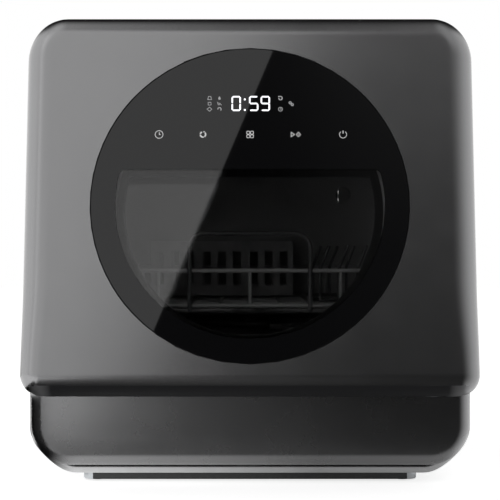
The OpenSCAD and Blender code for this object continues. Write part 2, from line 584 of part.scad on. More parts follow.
module pump_hoses() color([0.1, 0.1, 0.11]) {
    sump_low = tub_z0 - tub_wall - 44;
    hollow_run([[sump_x, sump_y, sump_low], [sump_x, sump_y, pump_z], [sump_x, pump_y - 14, pump_z]], 11, 9);
    dy = sqrt(pow(24, 2) - 100);
    difference() {
        run([[sump_x + 43, sump_y, 108], [drain_x + 10, sump_y, 108], [drain_x + 10, sump_y, 41],
            [drain_x + 10, drain_y + dy - 1, 41]], pipe_r);
        rod([sump_x + 40, sump_y, 108], [drain_x + 10, sump_y, 108], pipe_r - 2);
        rod([drain_x + 10, sump_y, 108], [drain_x + 10, sump_y, 41], pipe_r - 2);
        rod([drain_x + 10, sump_y, 41], [drain_x + 10, drain_y, 41], pipe_r - 2);
        translate([sump_x, sump_y, 90]) cylinder(r = sump_r, h = 40);
        translate([drain_x, drain_y, 30]) cylinder(r = 24, h = 22);
    }
    difference() {
        run([[tank_x1, sump_y, 40], [10, sump_y, 40], [10, sump_y, 108], [sump_x - 42, sump_y, 108]], 6.5);
        rod([tank_x1 - 1, sump_y, 40], [10, sump_y, 40], 4.5);
        rod([10, sump_y, 40], [10, sump_y, 108], 4.5);
        rod([10, sump_y, 108], [sump_x, sump_y, 108], 4.5);
        translate([sump_x, sump_y, 90]) cylinder(r = sump_r, h = 40);
    }
    hollow_run([[inlet_x - 15, pocket_y - 18, service_z], [tank_x1, pocket_y - 18, service_z]], 6.5, 4.5);
    difference() {
        run([[drain_x + 22, drain_y, 41], [half_w - 25, drain_y, 41], [half_w - 25, pocket_y - 18, 41],
             [spigot_x, pocket_y - 18, 41], [spigot_x, pocket_y - 18, service_z],
             [spigot_x, pocket_y, service_z]], pipe_r);
        rod([drain_x + 20, drain_y, 41], [half_w - 25, drain_y, 41], pipe_r - 2);
        rod([half_w - 25, drain_y, 41], [half_w - 25, pocket_y - 18, 41], pipe_r - 2);
        translate([drain_x, drain_y, 30]) cylinder(r = 24, h = 22);
    }
}
// ---------- tank and filler ----------
module tank_body(i) in_body(6 + i)
    span([-half_w, tank_y0 + i, tank_z0 + i], [tank_x1 - i, tank_y1 - i, tank_z1 - i]);
module water_tank() color([0.75, 0.8, 0.82, 0.6]) difference() {
    union() {
        tank_body(0);
        for (y = [tank_y0 + 30, tank_y1 - 30]) span([-160, y - 8, pan_z + wall], [-80, y + 8, tank_z0 + 1]);
    }
    tank_body(tank_t);
    rod([tank_x1 - 10, sump_y, 40], [tank_x1 + 10, sump_y, 40], 4.5);
    rod([tank_x1 - 10, pocket_y - 18, service_z], [tank_x1 + 10, pocket_y - 18, service_z], 4.5);
    translate([fill_pipe_x, fill_y, tank_z1 - 10]) cylinder(r = 10, h = 20);
    translate([float_x, float_y, tank_z1 - 10]) cylinder(r = 20, h = 20);
}
module tank_gauge() color([0.3, 0.3, 0.32]) translate([float_x, float_y, 0]) {
    translate([0, 0, tank_z1]) cylinder(r = 23, h = 3);
    translate([0, 0, tank_z0 + tank_t]) cylinder(r = 4, h = tank_z1 - tank_z0 - tank_t);
}
module tank_float() color([0.9, 0.6, 0.2]) translate([float_x, float_y, float_z]) difference() {
    cylinder(r = 18, h = 20);
    translate([0, 0, -1]) cylinder(r = 4 + run_gap, h = 22);
}
module fill_pipe() color([0.22, 0.22, 0.23]) {
    difference() {
        union() {
            run([[fill_x, fill_y, fill_z], [fill_pipe_x, fill_y, fill_z],
                 [fill_pipe_x, fill_y, tank_z1]], 12);
            translate([fill_x, fill_y, tub_z1 + tub_wall])
                cylinder(r = fill_r, h = shell_top - 2.8 - tub_z1 - tub_wall);
            for (s = [-1, 1]) translate([fill_x + s * 9, 0, 0]) difference() {
                span([-2, fill_y + fill_r - 6, fill_hinge_z - 14], [2, fill_hinge_y + 3, fill_hinge_z + 2]);
                translate([-s * 9, fill_y, shell_top - 3]) cylinder(r = lid_r + 0.6, h = 10);
                translate([-3, fill_hinge_y, fill_hinge_z]) rotate([0, 90, 0]) cylinder(r = 1.2, h = 6);
            }
        }
        translate([fill_x, fill_y, tub_z1 + tub_wall + 2]) cylinder(r = fill_r - 2.5, h = 60);
        rod([fill_x, fill_y, fill_z], [fill_pipe_x, fill_y, fill_z], 10);
        rod([fill_pipe_x, fill_y, fill_z], [fill_pipe_x, fill_y, tank_z1 - 1], 10);
        translate([fill_pipe_x, fill_y, fill_z]) sphere(10.3);
    }
    translate([fill_x - 11, fill_hinge_y, fill_hinge_z]) rotate([0, 90, 0]) cylinder(r = 1.2, h = 22);
}
module fill_lid() color([0.2, 0.2, 0.21]) {
    translate([fill_x, fill_y, shell_top - 2.5]) cylinder(r = lid_r, h = 2.5);
    difference() {
        union() {
            span([fill_x - 6, fill_y + fill_r - 4, shell_top - 2.5], [fill_x + 6, fill_hinge_y, shell_top]);
            translate([fill_x - 6, fill_hinge_y, fill_hinge_z]) rotate([0, 90, 0]) cylinder(r = 3, h = 12);
        }
        translate([fill_x - 8, fill_hinge_y, fill_hinge_z]) rotate([0, 90, 0])
            cylinder(r = 1.2 + run_gap, h = 16);
    }
}
module inlet_valve() color([0.85, 0.85, 0.82]) difference() {
    union() {
        y_cyl(inlet_x, service_z, pocket_y + 2, pocket_y + 27, inlet_r);
        y_cyl(inlet_x, service_z, pocket_y - 4, pocket_y + 2, inlet_r - 2);
        span([inlet_x - 15, pocket_y - 36, service_z - 14], [inlet_x + 15, pocket_y, service_z + 26]);
    }
    y_cyl(inlet_x, service_z, pocket_y - 20, pocket_y + 30, 8);
    rod([inlet_x - 20, pocket_y - 18, service_z], [inlet_x, pocket_y - 18, service_z], 4.5);
}
module drain_spigot() color([0.3, 0.3, 0.32]) difference() {
    union() {
        y_cyl(spigot_x, service_z, pocket_y + 2, pocket_y + 27, spigot_r);
        y_cyl(spigot_x, service_z, pocket_y, pocket_y + 2, spigot_r - 2);
        y_cyl(spigot_x, service_z, pocket_y + 2, pocket_y + 5, spigot_r + 2.5);
    }
    y_cyl(spigot_x, service_z, pocket_y - 1, pocket_y + 30, spigot_r - 4);
}
module cable_gland() color([0.1, 0.1, 0.1]) difference() {
    union() {
        y_cyl(gland_x, gland_z, pocket_y - 5, pocket_y + 12, gland_r);
        translate([gland_x, pocket_y + 2, gland_z]) rotate([-90, 0, 0]) cylinder(r = 10, h = 6, $fn = 6);
        translate([gland_x, pocket_y - 4, gland_z]) rotate([-90, 0, 0]) cylinder(r = 10, h = 4, $fn = 6);
    }
    y_cyl(gland_x, gland_z, pocket_y - 6, pocket_y + 14, 4);
}
board_y = 10;
module control_board() color([0.1, 0.4, 0.2]) {
    span([half_w - 20, board_y, 66], [half_w - 18.4, board_y + 130, 130]);
    for (y = [board_y + 10, board_y + 120]) for (z = [74, 122])
        translate([half_w - 18.4, y, z]) rotate([0, 90, 0]) cylinder(r = 3, h = 18.4 - wall);
    span([half_w - 40, board_y + 20, 78], [half_w - 20, board_y + 50, 108]);
    for (y = [board_y + 70, board_y + 100])
        translate([half_w - 34, y, 100]) rotate([0, 90, 0]) cylinder(r = 8, h = 14);
}

// ---------- drying fan ----------
fan_y0 = tub_y + 5;
module fan_housing() color([0.18, 0.18, 0.19]) {
    difference() {
        union() {
            y_cyl(fan_x, fan_z, fan_y0, panel_y, fan_r);
            y_cyl(duct_x, fan_z, tub_y + tub_wall, fan_y0 + 1, 12);
        }
        y_cyl(fan_x, fan_z, fan_y0 + 2, panel_y + 1, fan_r - 2);
        y_cyl(duct_x, fan_z, tub_y, fan_y0 + 5, 9);
    }
    y_cyl(fan_x, fan_z, fan_y0 + 2, fan_y0 + 10, 11);
    y_cyl(fan_x, fan_z, fan_y0 + 2, fan_y0 + 34, 2.5);
}
module fan_wheel() color([0.8, 0.8, 0.78])
    translate([fan_x, fan_y0 + 10.4, fan_z]) rotate([-90, 0, 0]) difference() {
        union() {
            cylinder(r = 33, h = 1.6);
            cylinder(r = 7, h = 20);
            for (a = [0:20:359]) rotate([0, 0, a]) translate([22, -0.8, 0]) cube([10.6, 1.6, 20]);
        }
        translate([0, 0, -1]) cylinder(r = 2.5 + run_gap, h = 22);
    }

// ---------- latch and hinges ----------
module latch_housing() color([0.2, 0.2, 0.22]) difference() {
    union() {
        span([-22, latch_y - 14, tub_z1 + tub_wall], [22, latch_y + 26, latch_z + 16]);
        span([-10, latch_y + 26, tub_z1 + tub_wall], [10, latch_y + 38, latch_z + 6]);
    }
    span([-6, latch_y - 20, tub_z1 + tub_wall + 2], [6, latch_y + 23, latch_z + 13.5]);
    translate([-8, latch_y, latch_z]) rotate([0, 90, 0]) cylinder(r = 2.5, h = 16);
}
module latch_hook() color([0.85, 0.85, 0.87]) {
    translate([0, latch_y, latch_z]) rotate([-latch_up, 0, 0]) difference() {
        union() {
            translate([-4, 0, 0]) rotate([0, 90, 0]) cylinder(r = 5.5, h = 8);
            span([-4, -49, -2.5], [4, 0, 2.5]);
            span([-4, -49.5, -9.5], [4, -46, 0]);
            span([-4, 0, -4], [4, 10, 0]);
        }
    }
    translate([-7, latch_y, latch_z]) rotate([0, 90, 0]) cylinder(r = 2.5 - run_gap, h = 14);
}
module bracket_outline(r) {
    translate([pivot_y, pivot_z]) circle(r);
    translate([pivot_y, pivot_z - 5]) square([base_y - pivot_y + 12, 10]);
    translate([base_y + 4, pan_z]) square([30, pivot_z + 5 - pan_z]);
}
module hinge_brackets() color([0.6, 0.6, 0.62]) in_body(wall) for (s = [0, 1]) mirror([s, 0, 0]) {
    difference() {
        along_x(bracket_x, bracket_x + bracket_t) bracket_outline(6.2);
        translate([bracket_x - 1, pivot_y, pivot_z]) rotate([0, 90, 0])
            cylinder(r = pin_r, h = bracket_t + 2);
    }
    span([bracket_x - 20, base_y + 4, pan_z], [bracket_x, base_y + 34, pan_z + wall + 3]);
}
module hinge_pins() color([0.75, 0.75, 0.77]) for (s = [-1, 1])
    translate([s * (bracket_x + bracket_t / 2) - 10, pivot_y, pivot_z]) rotate([0, 90, 0])
        cylinder(r = pin_r, h = 20);

// ---------- overflow guard and pads ----------
over_x = 0;
over_y = base_y + 30;
over_z = pan_z + wall;
module overflow_guide() color([0.7, 0.7, 0.7]) translate([over_x, over_y, 0]) {
    translate([0, 0, over_z]) cylinder(r = 14, h = 2);
    translate([0, 0, over_z]) cylinder(r = 3, h = 44);
    span([-9, -12, over_z + 32], [9, 12, over_z + 44]);
}
module overflow_float() color([0.95, 0.95, 0.93]) translate([over_x, over_y, over_z + 2.3]) difference() {
    union() {
        cylinder(r = 16, h = 10);
        cylinder(r = 7, h = 20);
    }
    translate([0, 0, -1]) cylinder(r = 3 + run_gap, h = 24);
}
module acoustic_pads() color([0.1, 0.1, 0.1]) for (s = [0, 1]) mirror([s, 0, 0])
    span([tub_x + tub_wall, -90, tub_z0 + 50], [tub_x + tub_wall + 3, tub_y - tub_r, tub_z1 - 30]);

// ---------- rack ----------
module ring(x, y0, y1, z, r, c) {
    for (s = [-1, 1]) rod([s * x, y0 + c, z], [s * x, y1 - c, z], r);
    for (y = [y0, y1]) rod([-x + c, y, z], [x - c, y, z], r);
    for (k = [[x - c, y1 - c, 0], [-x + c, y1 - c, 90], [-x + c, y0 + c, 180], [x - c, y0 + c, 270]])
        translate([k[0], k[1], z]) rotate([0, 0, k[2]])
            rotate_extrude(angle = 90) translate([c, 0]) circle(r);
}
module rack_frame() color([0.4, 0.41, 0.42]) {
    ring(rack_x, rack_y0, rack_y1, rack_top, rail_r, 12);
    ring(rack_x, rack_y0, rack_y1, rack_low, rail_r, 12);
    for (x = [-rack_x + 20, -rack_x + 60.5, 0, rack_x - 60.5, rack_x - 20])
        rod([x, rack_y0, rack_low], [x, rack_y0, rack_top], wire_r);
    for (x = [-rack_x + 21, -rack_x + 58, rack_x - 58, rack_x - 21])
        rod([x, rack_y1, rack_low], [x, rack_y1, rack_top], wire_r);
    for (s = [-1, 1]) for (y = [glide_ys[0], rack_mid, glide_ys[1]])
        rod([s * rack_x, y, rack_low], [s * rack_x, y, rack_top], wire_r);
    for (k = [-4:4]) rod([k * grid_x, rack_y0, rack_low], [k * grid_x, rack_y1, rack_low], wire_r);
    for (k = [-2:2]) rod([-rack_x, rack_mid - 5 + k * grid_y, rack_low - 1.6],
        [rack_x, rack_mid - 5 + k * grid_y, rack_low - 1.6], wire_r);
}
handle_x = 58;
handle_top = tub_z0 + 94.6;
handle_r = 14;
module rack_handle() color([0.4, 0.41, 0.42]) {
    y = rack_y0 - 2 * rail_r + 0.2;
    z0 = rack_low - 3.8;
    for (s = [-1, 1]) {
        rod([s * handle_x, y, z0], [s * handle_x, y, handle_top - handle_r], rail_r);
        translate([s * (handle_x - handle_r), y, handle_top - handle_r]) rotate([90, 0, 0])
            rotate([0, 0, s > 0 ? 0 : 90]) rotate_extrude(angle = 90) translate([handle_r, 0]) circle(rail_r);
    }
    rod([-handle_x + handle_r, y, handle_top], [handle_x - handle_r, y, handle_top], rail_r);
}
prong_x0 = rack_x - 76.5;
prong_knee = rack_low + 34.7;
module plate_prongs() color([0.4, 0.41, 0.42]) for (y = [rack_mid - 75, rack_mid + 75]) {
    base_z = rack_low + 2 * wire_r - 0.2;
    rod([prong_x0 - 6, y, base_z], [prong_x0 + (prongs - 1) * prong_pitch + 6, y, base_z], wire_r);
    for (i = [0:prongs - 1]) {
        x = prong_x0 + i * prong_pitch;
        rod([x, y, base_z], [x, y, prong_knee], wire_r);
        translate([x, y, prong_knee]) sphere(wire_r + 0.01);
        rod([x, y, prong_knee], [x + 8.5, y, prong_knee + 22], wire_r);
    }
}
module rack_glides() color([0.85, 0.85, 0.85])
    for (s = [0, 1]) mirror([s, 0, 0]) for (y = glide_ys) difference() {
        span([rack_x - 4, y - 10, slide_z], [tub_x - 2, y + 10, slide_z + 7.3]);
        translate([rack_x, y, slide_z - 1]) cylinder(r = wire_r, h = 10);
    }
bask_x0 = -rack_x + 35;
bask_x1 = rack_x - 99;
bask_y0 = rack_y1 - 68;
bask_y1 = rack_y1 - 10;
bask_z0 = rack_low + wire_r + 0.1;
bask_h = 62;
bask_w = (bask_x1 - bask_x0 - 8) / 3;      // clear width of each of the three pockets
module cutlery_basket() color([0.6, 0.61, 0.62]) difference() {
    span([bask_x0, bask_y0, bask_z0], [bask_x1, bask_y1, bask_z0 + bask_h]);
    for (k = [0:2]) {
        x = bask_x0 + 2 + k * (bask_w + 2);
        span([x, bask_y0 + 2, bask_z0 + 2], [x + bask_w, bask_y1 - 2, bask_z0 + bask_h + 1]);
    }
    for (k = [0:2]) for (i = [-1:1])
        translate([bask_x0 + 2 + k * (bask_w + 2) + bask_w / 2 + i * bask_w / 3, 0, bask_z0 + 12])
            span([-4.5, bask_y0 - 1, 0], [4.5, bask_y1 + 1, bask_h - 24]);
}

door_frame();
door_glass();
glass_bed();
inner_liner();
inner_window();
window_seal();
display_board();
key_springs();
detergent_cup();
detergent_lid();
hinge_arms();
door_striker();
liner_screws();
base_pan();
plinth();
foot_pads();
front_fascia();
cabinet_shell();
front_frame();
door_gasket();
rear_panel();
rear_screws();
tub();
rack_rails();
sump();
flat_filter();
filter_cup();
heater();
lower_spray_arm();
upper_spray_arm();
spray_feed_pipe();
wash_pump();
wash_impeller();
drain_pump();
drain_impeller();
pump_hoses();
water_tank();
tank_gauge();
tank_float();
fill_pipe();
fill_lid();
inlet_valve();
drain_spigot();
cable_gland();
control_board();
fan_housing();
fan_wheel();
vent_grille();
latch_housing();
latch_hook();
hinge_brackets();
hinge_pins();
overflow_guide();
overflow_float();
acoustic_pads();
rack_frame();
rack_handle();
plate_prongs();
rack_glides();
cutlery_basket();
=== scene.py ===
# %% [markdown]
# # Dressing a countertop dishwasher
# The machine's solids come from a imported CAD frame, where every part already has its place and its joint.
# This notebook gives them their skins, their finishes and their light. Each step says what the piece is on
# the real machine, how it could be made, and why this way was chosen. Every length is in metres.

# %% Load the frame
import json
import math

import bmesh
import bpy
from mathutils import Matrix, Vector


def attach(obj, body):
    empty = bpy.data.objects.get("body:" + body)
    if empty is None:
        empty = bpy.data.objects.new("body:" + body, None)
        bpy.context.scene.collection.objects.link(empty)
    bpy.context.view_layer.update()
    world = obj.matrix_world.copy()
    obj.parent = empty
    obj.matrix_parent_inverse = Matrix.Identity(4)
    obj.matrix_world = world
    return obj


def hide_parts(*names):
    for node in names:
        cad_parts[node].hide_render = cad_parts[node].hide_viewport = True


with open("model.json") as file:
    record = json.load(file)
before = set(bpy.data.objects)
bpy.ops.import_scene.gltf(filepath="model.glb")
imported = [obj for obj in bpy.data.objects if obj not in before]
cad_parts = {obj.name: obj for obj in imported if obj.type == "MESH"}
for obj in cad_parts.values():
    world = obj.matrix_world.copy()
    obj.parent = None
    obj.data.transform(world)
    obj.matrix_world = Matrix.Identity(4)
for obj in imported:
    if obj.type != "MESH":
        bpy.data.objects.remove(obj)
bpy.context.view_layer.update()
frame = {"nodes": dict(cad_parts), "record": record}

MM = 0.001
nodes = frame["nodes"]
BODIES = frame["record"]["behaviour"]["bodies"]
BODY_OF = {node: body for body, members in BODIES.items() for node in members}
print("parts:", len(nodes), "bodies:", len(BODIES))

# %% [markdown]
# ## Node trees in a few lines
# Finishes, lights and repeated shapes are all node trees. Nodes can be made and linked one by one, but then each
# sum takes six lines. Here one helper adds a node with its values and its links. A Signal is a number that runs
# through a shader tree, and plain arithmetic on it adds the Math nodes.

# %% Adding a node
def add_node(tree, kind, inputs=(), settings=()):
    """A new node. An input that comes from another node is linked, and any other is set."""
    made = tree.nodes.new(kind)
    for key, value in dict(settings).items():
        setattr(made, key, value)
    for key, value in dict(inputs).items():
        value = getattr(value, "socket", value)
        if isinstance(value, bpy.types.NodeSocket):
            tree.links.new(value, made.inputs[key])
        else:
            made.inputs[key].default_value = value
    return made


# %% Sums on signals
class Signal:
    """One number of a shader tree, as the output socket that gives it."""

    def __init__(self, socket):
        self.socket = socket

    def ramp(self, low, high, to=(0, 1), kind="LINEAR"):
        """Runs from one value at low to another at high, and stays level beyond them."""
        return Signal(add_node(self.socket.id_data, "ShaderNodeMapRange", {
            "Value": self, "From Min": low, "From Max": high, "To Min": to[0], "To Max": to[1]},
            {"interpolation_type": kind}).outputs["Result"])

    def ease(self, low, high):
        """Runs from 0 at low to 1 at high, with soft ends."""
        return self.ramp(low, high, kind="SMOOTHSTEP")

    def calculate(self, operation, *numbers):
        """A Math node on up to two numbers, each a signal or a plain one."""
        made = add_node(self.socket.id_data, "ShaderNodeMath", dict(enumerate(numbers)), {"operation": operation})
        return Signal(made.outputs["Value"])

    def __add__(self, other):
        return self.calculate("ADD", self, other)

    def __sub__(self, other):
        return self.calculate("SUBTRACT", self, other)

    def __rsub__(self, other):
        return self.calculate("SUBTRACT", other, self)

    def __mul__(self, other):
        return self.calculate("MULTIPLY", self, other)

    def __abs__(self):
        return self.calculate("ABSOLUTE", self)

    def at_least(self, other):
        return self.calculate("MAXIMUM", self, other)

    def at_most(self, other):
        return self.calculate("MINIMUM", self, other)


# %% Points, lengths and colours in a tree
def texture_point(tree, space="Object"):
    return add_node(tree, "ShaderNodeTexCoord").outputs[space]


def axes(vector):
    """The x, y and z of a vector."""
    parts = add_node(vector.id_data, "ShaderNodeSeparateXYZ", {"Vector": vector}).outputs
    return [Signal(parts[axis]) for axis in "XYZ"]


def length_of(x, y):
    tree = x.socket.id_data
    flat = add_node(tree, "ShaderNodeCombineXYZ", {"X": x, "Y": y}).outputs["Vector"]
    return Signal(add_node(tree, "ShaderNodeVectorMath", {0: flat}, {"operation": "LENGTH"}).outputs["Value"])


def colour_ramp(source, *stops):
    """Blends two colours over a value. Each stop is a position and a colour."""
    ramp = add_node(source.socket.id_data, "ShaderNodeValToRGB", {"Fac": source})
    for element, (position, colour) in zip(ramp.color_ramp.elements, stops):
        element.position = position
        element.color = (*colour, 1)
    return ramp.outputs["Color"]


def mix_shaders(share, first, second):
    tree = first.id_data
    return add_node(tree, "ShaderNodeMixShader", {"Fac": share, 1: first, 2: second}).outputs["Shader"]


# %% [markdown]
# ## Finishes
# A finish is a small node tree on the Principled shader. A texture image could carry the grain, but it would
# need an unwrapped mesh and a file. Noise on Object coordinates needs neither, and it keeps its real scale in
# millimetres on every part. Numbers that are the same all over are set on the shader itself.

# %% A blank finish
def finish(name, color, rough, metal=0.0, **sockets):
    mat = bpy.data.materials.new(name)
    mat.use_nodes = True
    shader = mat.node_tree.nodes["Principled BSDF"]
    for key, value in {"Base Color": (*color, 1), "Roughness": rough, "Metallic": metal, **sockets}.items():
        shader.inputs[key.replace("_", " ")].default_value = value
    return mat


def plug(mat, socket, source):
    """Links a node's output, or a signal, into the Principled shader."""
    source = getattr(source, "socket", source)
    mat.node_tree.links.new(source, mat.node_tree.nodes["Principled BSDF"].inputs[socket])


# %% Grain, and what it does to a finish
def grain_texture(mat, size_mm, stretch=(1, 1, 1), detail=3.0):
    """Noise on Object coordinates whose spots are about size_mm across."""
    tree = mat.node_tree
    scale = [k / (size_mm * MM) for k in stretch]
    placed = add_node(tree, "ShaderNodeMapping", {"Vector": texture_point(tree), "Scale": scale}).outputs["Vector"]
    noise = add_node(tree, "ShaderNodeTexNoise", {"Vector": placed, "Scale": 1.0, "Detail": detail})
    return Signal(noise.outputs["Fac"])


def roughen(mat, grain, low, high):
    """Roughness that wanders from low to high."""
    plug(mat, "Roughness", grain.ramp(0.3, 0.7, (low, high)))


def tint(mat, grain, dark, pale):
    """Colour that wanders between two near shades."""
    plug(mat, "Base Color", colour_ramp(grain, (0.35, dark), (0.65, pale)))


def bump(mat, grain, depth_mm, strength=0.4):
    relief = {"Height": grain, "Strength": strength, "Distance": depth_mm * MM}
    plug(mat, "Normal", add_node(mat.node_tree, "ShaderNodeBump", relief).outputs["Normal"])


# %% [markdown]
# The outer skins are plastic in a satin graphite lacquer with a fine metal flake. A fully metallic base gives the
# broad sheen that slides from light to dark across the door, and a flake-sized noise breaks it up.

# %% How lacquer, plastic and steel are made
LACQUER_GREY, LACQUER_ROUGH = (0.24, 0.24, 0.244), 0.26
FLAKE_DARK, FLAKE_PALE = (0.225, 0.225, 0.228), (0.255, 0.255, 0.258)
# The black of the rubber, and of the painted shade under the door's lip
RUBBER_AND_SHADE_BLACK = (0.016, 0.016, 0.017)


def lacquer(name, rough):
    mat = finish(name, LACQUER_GREY, rough, 1.0)
    flake = grain_texture(mat, 0.35, detail=1.0)
    tint(mat, flake, FLAKE_DARK, FLAKE_PALE)
    roughen(mat, grain_texture(mat, 30), rough - 0.01, rough + 0.01)
    bump(mat, flake, 0.01, 0.25)
    return mat


def moulded(name, color, rough=0.5, wander=0.12, grain_mm=0.5, depth_mm=0.02, **sockets):
    """Moulded plastic with spark-eroded grain and a faint change of shade over the part."""
    mat = finish(name, color, rough, **sockets)
    tint(mat, grain_texture(mat, 18), [c * (1 - wander) for c in color], [c * (1 + wander) for c in color])
    bump(mat, grain_texture(mat, grain_mm), depth_mm)
    return mat


def brushed(name, color, rough, along=(1, 1, 1)):
    """Sheet metal with fine lines along the axis whose share is small."""
    mat = finish(name, color, rough, 1.0)
    lines = grain_texture(mat, 0.6, along, 2.0)
    tint(mat, lines, [c * 0.93 for c in color], color)
    roughen(mat, lines, rough * 0.85, rough * 1.2)
    bump(mat, lines, 0.006, 0.3)
    return mat


# %% The finishes
# After its colour, a moulding has its roughness, its change of shade, and its grain's size and depth in millimetres
LACQUER = lacquer("graphite_lacquer", LACQUER_ROUGH)
FASCIA_LACQUER = lacquer("fascia_lacquer", 0.27)
PAN_PAINT = moulded("silver_pan_paint", (0.52, 0.52, 0.525), 0.30, 0.03, 0.35, 0.01, Metallic=1.0)
PLINTH_PLASTIC = moulded("polished_plinth", (0.03, 0.03, 0.032), 0.16, 0.08, 0.5, 0.004)
DARK_PLASTIC = moulded("dark_moulding", (0.022, 0.022, 0.024), 0.48)
GREY_PLASTIC = moulded("grey_moulding", (0.11, 0.112, 0.118), 0.42)
PALE_PLASTIC = moulded("pale_moulding", (0.62, 0.62, 0.6), 0.4, 0.05)
BASKET_PLASTIC = moulded("basket_moulding", (0.72, 0.72, 0.72), 0.38, 0.08)
FLOAT_PLASTIC = moulded("float_foam", (0.8, 0.33, 0.05), 0.6, 0.06, 0.8, 0.05)
TANK_PLASTIC = moulded("milky_tank", (0.62, 0.66, 0.68), 0.35, 0.05)
RUBBER = moulded("seal_rubber", RUBBER_AND_SHADE_BLACK, 0.62, 0.15, 0.3, 0.01)
FELT = moulded("bitumen_felt", (0.03, 0.03, 0.031), 0.9, 0.3, 1.2, 0.3)
BOARD = moulded("board_mask", (0.02, 0.13, 0.06), 0.35, 0.1, 2.0, 0.02)
TUB_STEEL = brushed("tub_steel", (0.5, 0.5, 0.5), 0.42, (0.05, 1, 1))
PANEL_STEEL = brushed("panel_steel", (0.5, 0.505, 0.51), 0.4, (1, 1, 0.05))
HEATER_OXIDE = brushed("heater_oxide", (0.07, 0.069, 0.067), 0.5)
ZINC = brushed("zinc_plate", (0.58, 0.6, 0.62), 0.34)
BRASS = brushed("spring_brass", (0.6, 0.45, 0.2), 0.3)
WIRE_COAT = moulded("wire_coat", (0.16, 0.16, 0.165), 0.24, 0.05, 1.5, 0.02)
INK = moulded("printed_ink", (0.78, 0.78, 0.78), 0.5, 0.02)
print("materials so far:", len(bpy.data.materials))

# %% [markdown]
# ## Cleaned copies of the solids
# A CAD mesh arrives as loose triangles with razor edges. A real edge always has a small radius that catches the
# light. Each visible solid gets a copy with its doubles merged and its flat triangles joined, and a narrow bevel
# on its edges. The CAD solid itself is never touched: the copy stands for it.

# %% Solids that stay as they are
# Nothing of these shows at any pose, so they keep their solids and only take a finish
HIDDEN = {
    "glass_bed": RUBBER, "window_seal": RUBBER, "display_board": BOARD, "key_springs": BRASS,
    "wash_impeller": PALE_PLASTIC, "drain_impeller": PALE_PLASTIC, "overflow_guide": PALE_PLASTIC,
    "overflow_float": PALE_PLASTIC, "tank_gauge": GREY_PLASTIC, "tank_float": FLOAT_PLASTIC,
    "acoustic_pads": FELT, "pump_hoses": RUBBER, "control_board": BOARD, "wash_pump": DARK_PLASTIC,
    "drain_pump": DARK_PLASTIC, "water_tank": TANK_PLASTIC,
}
for node, material in HIDDEN.items():
    nodes[node].data.materials.clear()
    nodes[node].data.materials.append(material)
print("kept as solids:", len(HIDDEN))


# %% A piece and its modifiers
def new_piece(name, bm, material):
    """Turns a bmesh into a piece of the scene."""
    mesh = bpy.data.meshes.new(name)
    bm.to_mesh(mesh)
    bm.free()
    mesh.materials.append(material)
    piece = bpy.data.objects.new(name, mesh)
    bpy.context.scene.collection.objects.link(piece)
    return piece


def apply_modifiers(piece):
    """Turns the piece with its modifiers into one plain mesh."""
    if not piece.modifiers:
        return
    graph = bpy.context.evaluated_depsgraph_get()
    graph.update()
    mesh = bpy.data.meshes.new_from_object(piece.evaluated_get(graph))
    piece.modifiers.clear()
    old, piece.data = piece.data, mesh
    bpy.data.meshes.remove(old)


# %% Edges that are soft and faces that look flat
SHARP = math.radians(35)
WEIGHT_OF_AREA = 60


def smooth(piece):
    for face in piece.data.polygons:
        face.use_smooth = True
    return piece


def soften(piece, radius=0.0):
    """A bevel on the sharp edges, and smooth shading that stops at the edges still sharp."""
    if radius:
        edge = piece.modifiers.new("edge_radius", "BEVEL")
        edge.width, edge.segments = radius, 2
        edge.limit_method, edge.angle_limit = "ANGLE", SHARP
    smooth(piece)
    apply_modifiers(piece)
    bm = bmesh.new()
    bm.from_mesh(piece.data)
    for edge in bm.edges:
        edge.smooth = not (len(edge.link_faces) == 2 and edge.calc_face_angle(0) > SHARP)
    bm.to_mesh(piece.data)
    bm.free()
    return piece


def flatten_shading(piece):
    """Normals weighted by face area, so that a large flat face shades flat up to its bevels."""
    weighted = piece.modifiers.new("weighted", "WEIGHTED_NORMAL")
    weighted.weight, weighted.keep_sharp = WEIGHT_OF_AREA, True
    apply_modifiers(piece)


def paint(piece, material, where):
    """Gives the material to each face that where(face) picks."""
    piece.data.materials.append(material)
    for face in piece.data.polygons:
        if where(face):
            face.material_index = len(piece.data.materials) - 1


# %% Handing a piece over to its body
# The CAD nodes that a piece stands for
standing = set()


def hand_over(piece, body, *replaced, slot=None):
    """The piece rides on its body and stands for the CAD nodes named."""
    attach(piece, body)
    if replaced:
        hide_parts(*replaced)
    standing.update(replaced)


# %% Dressing a solid
# The finish of each copy, and its edge radius in millimetres
SKINS = {
    "front_frame": (GREY_PLASTIC, 0.5), "detergent_cup": (GREY_PLASTIC, 0.35),
    "detergent_lid": (GREY_PLASTIC, 0.5), "hinge_arms": (ZINC, 0.4), "door_striker": (ZINC, 0.3),
    "rack_glides": (PALE_PLASTIC, 0.8), "cutlery_basket": (BASKET_PLASTIC, 0.45),
    "filter_cup": (GREY_PLASTIC, 0.35), "sump": (DARK_PLASTIC, 0.5), "heater": (HEATER_OXIDE, 0),
    "spray_feed_pipe": (GREY_PLASTIC, 0.25), "rack_rails": (TUB_STEEL, 0.3), "cable_gland": (DARK_PLASTIC, 0.35),
    "rear_panel": (PANEL_STEEL, 0.4), "fan_housing": (DARK_PLASTIC, 0.3), "fan_wheel": (PALE_PLASTIC, 0.15),
    "vent_grille": (DARK_PLASTIC, 0.35), "fill_pipe": (DARK_PLASTIC, 0.25), "fill_lid": (DARK_PLASTIC, 0.5),
    "latch_housing": (DARK_PLASTIC, 0.5), "latch_hook": (ZINC, 0.4), "hinge_brackets": (ZINC, 0.4),
    "hinge_pins": (ZINC, 0.4),
}
DOUBLE, SAME_PLANE = 2e-6, math.radians(0.3)


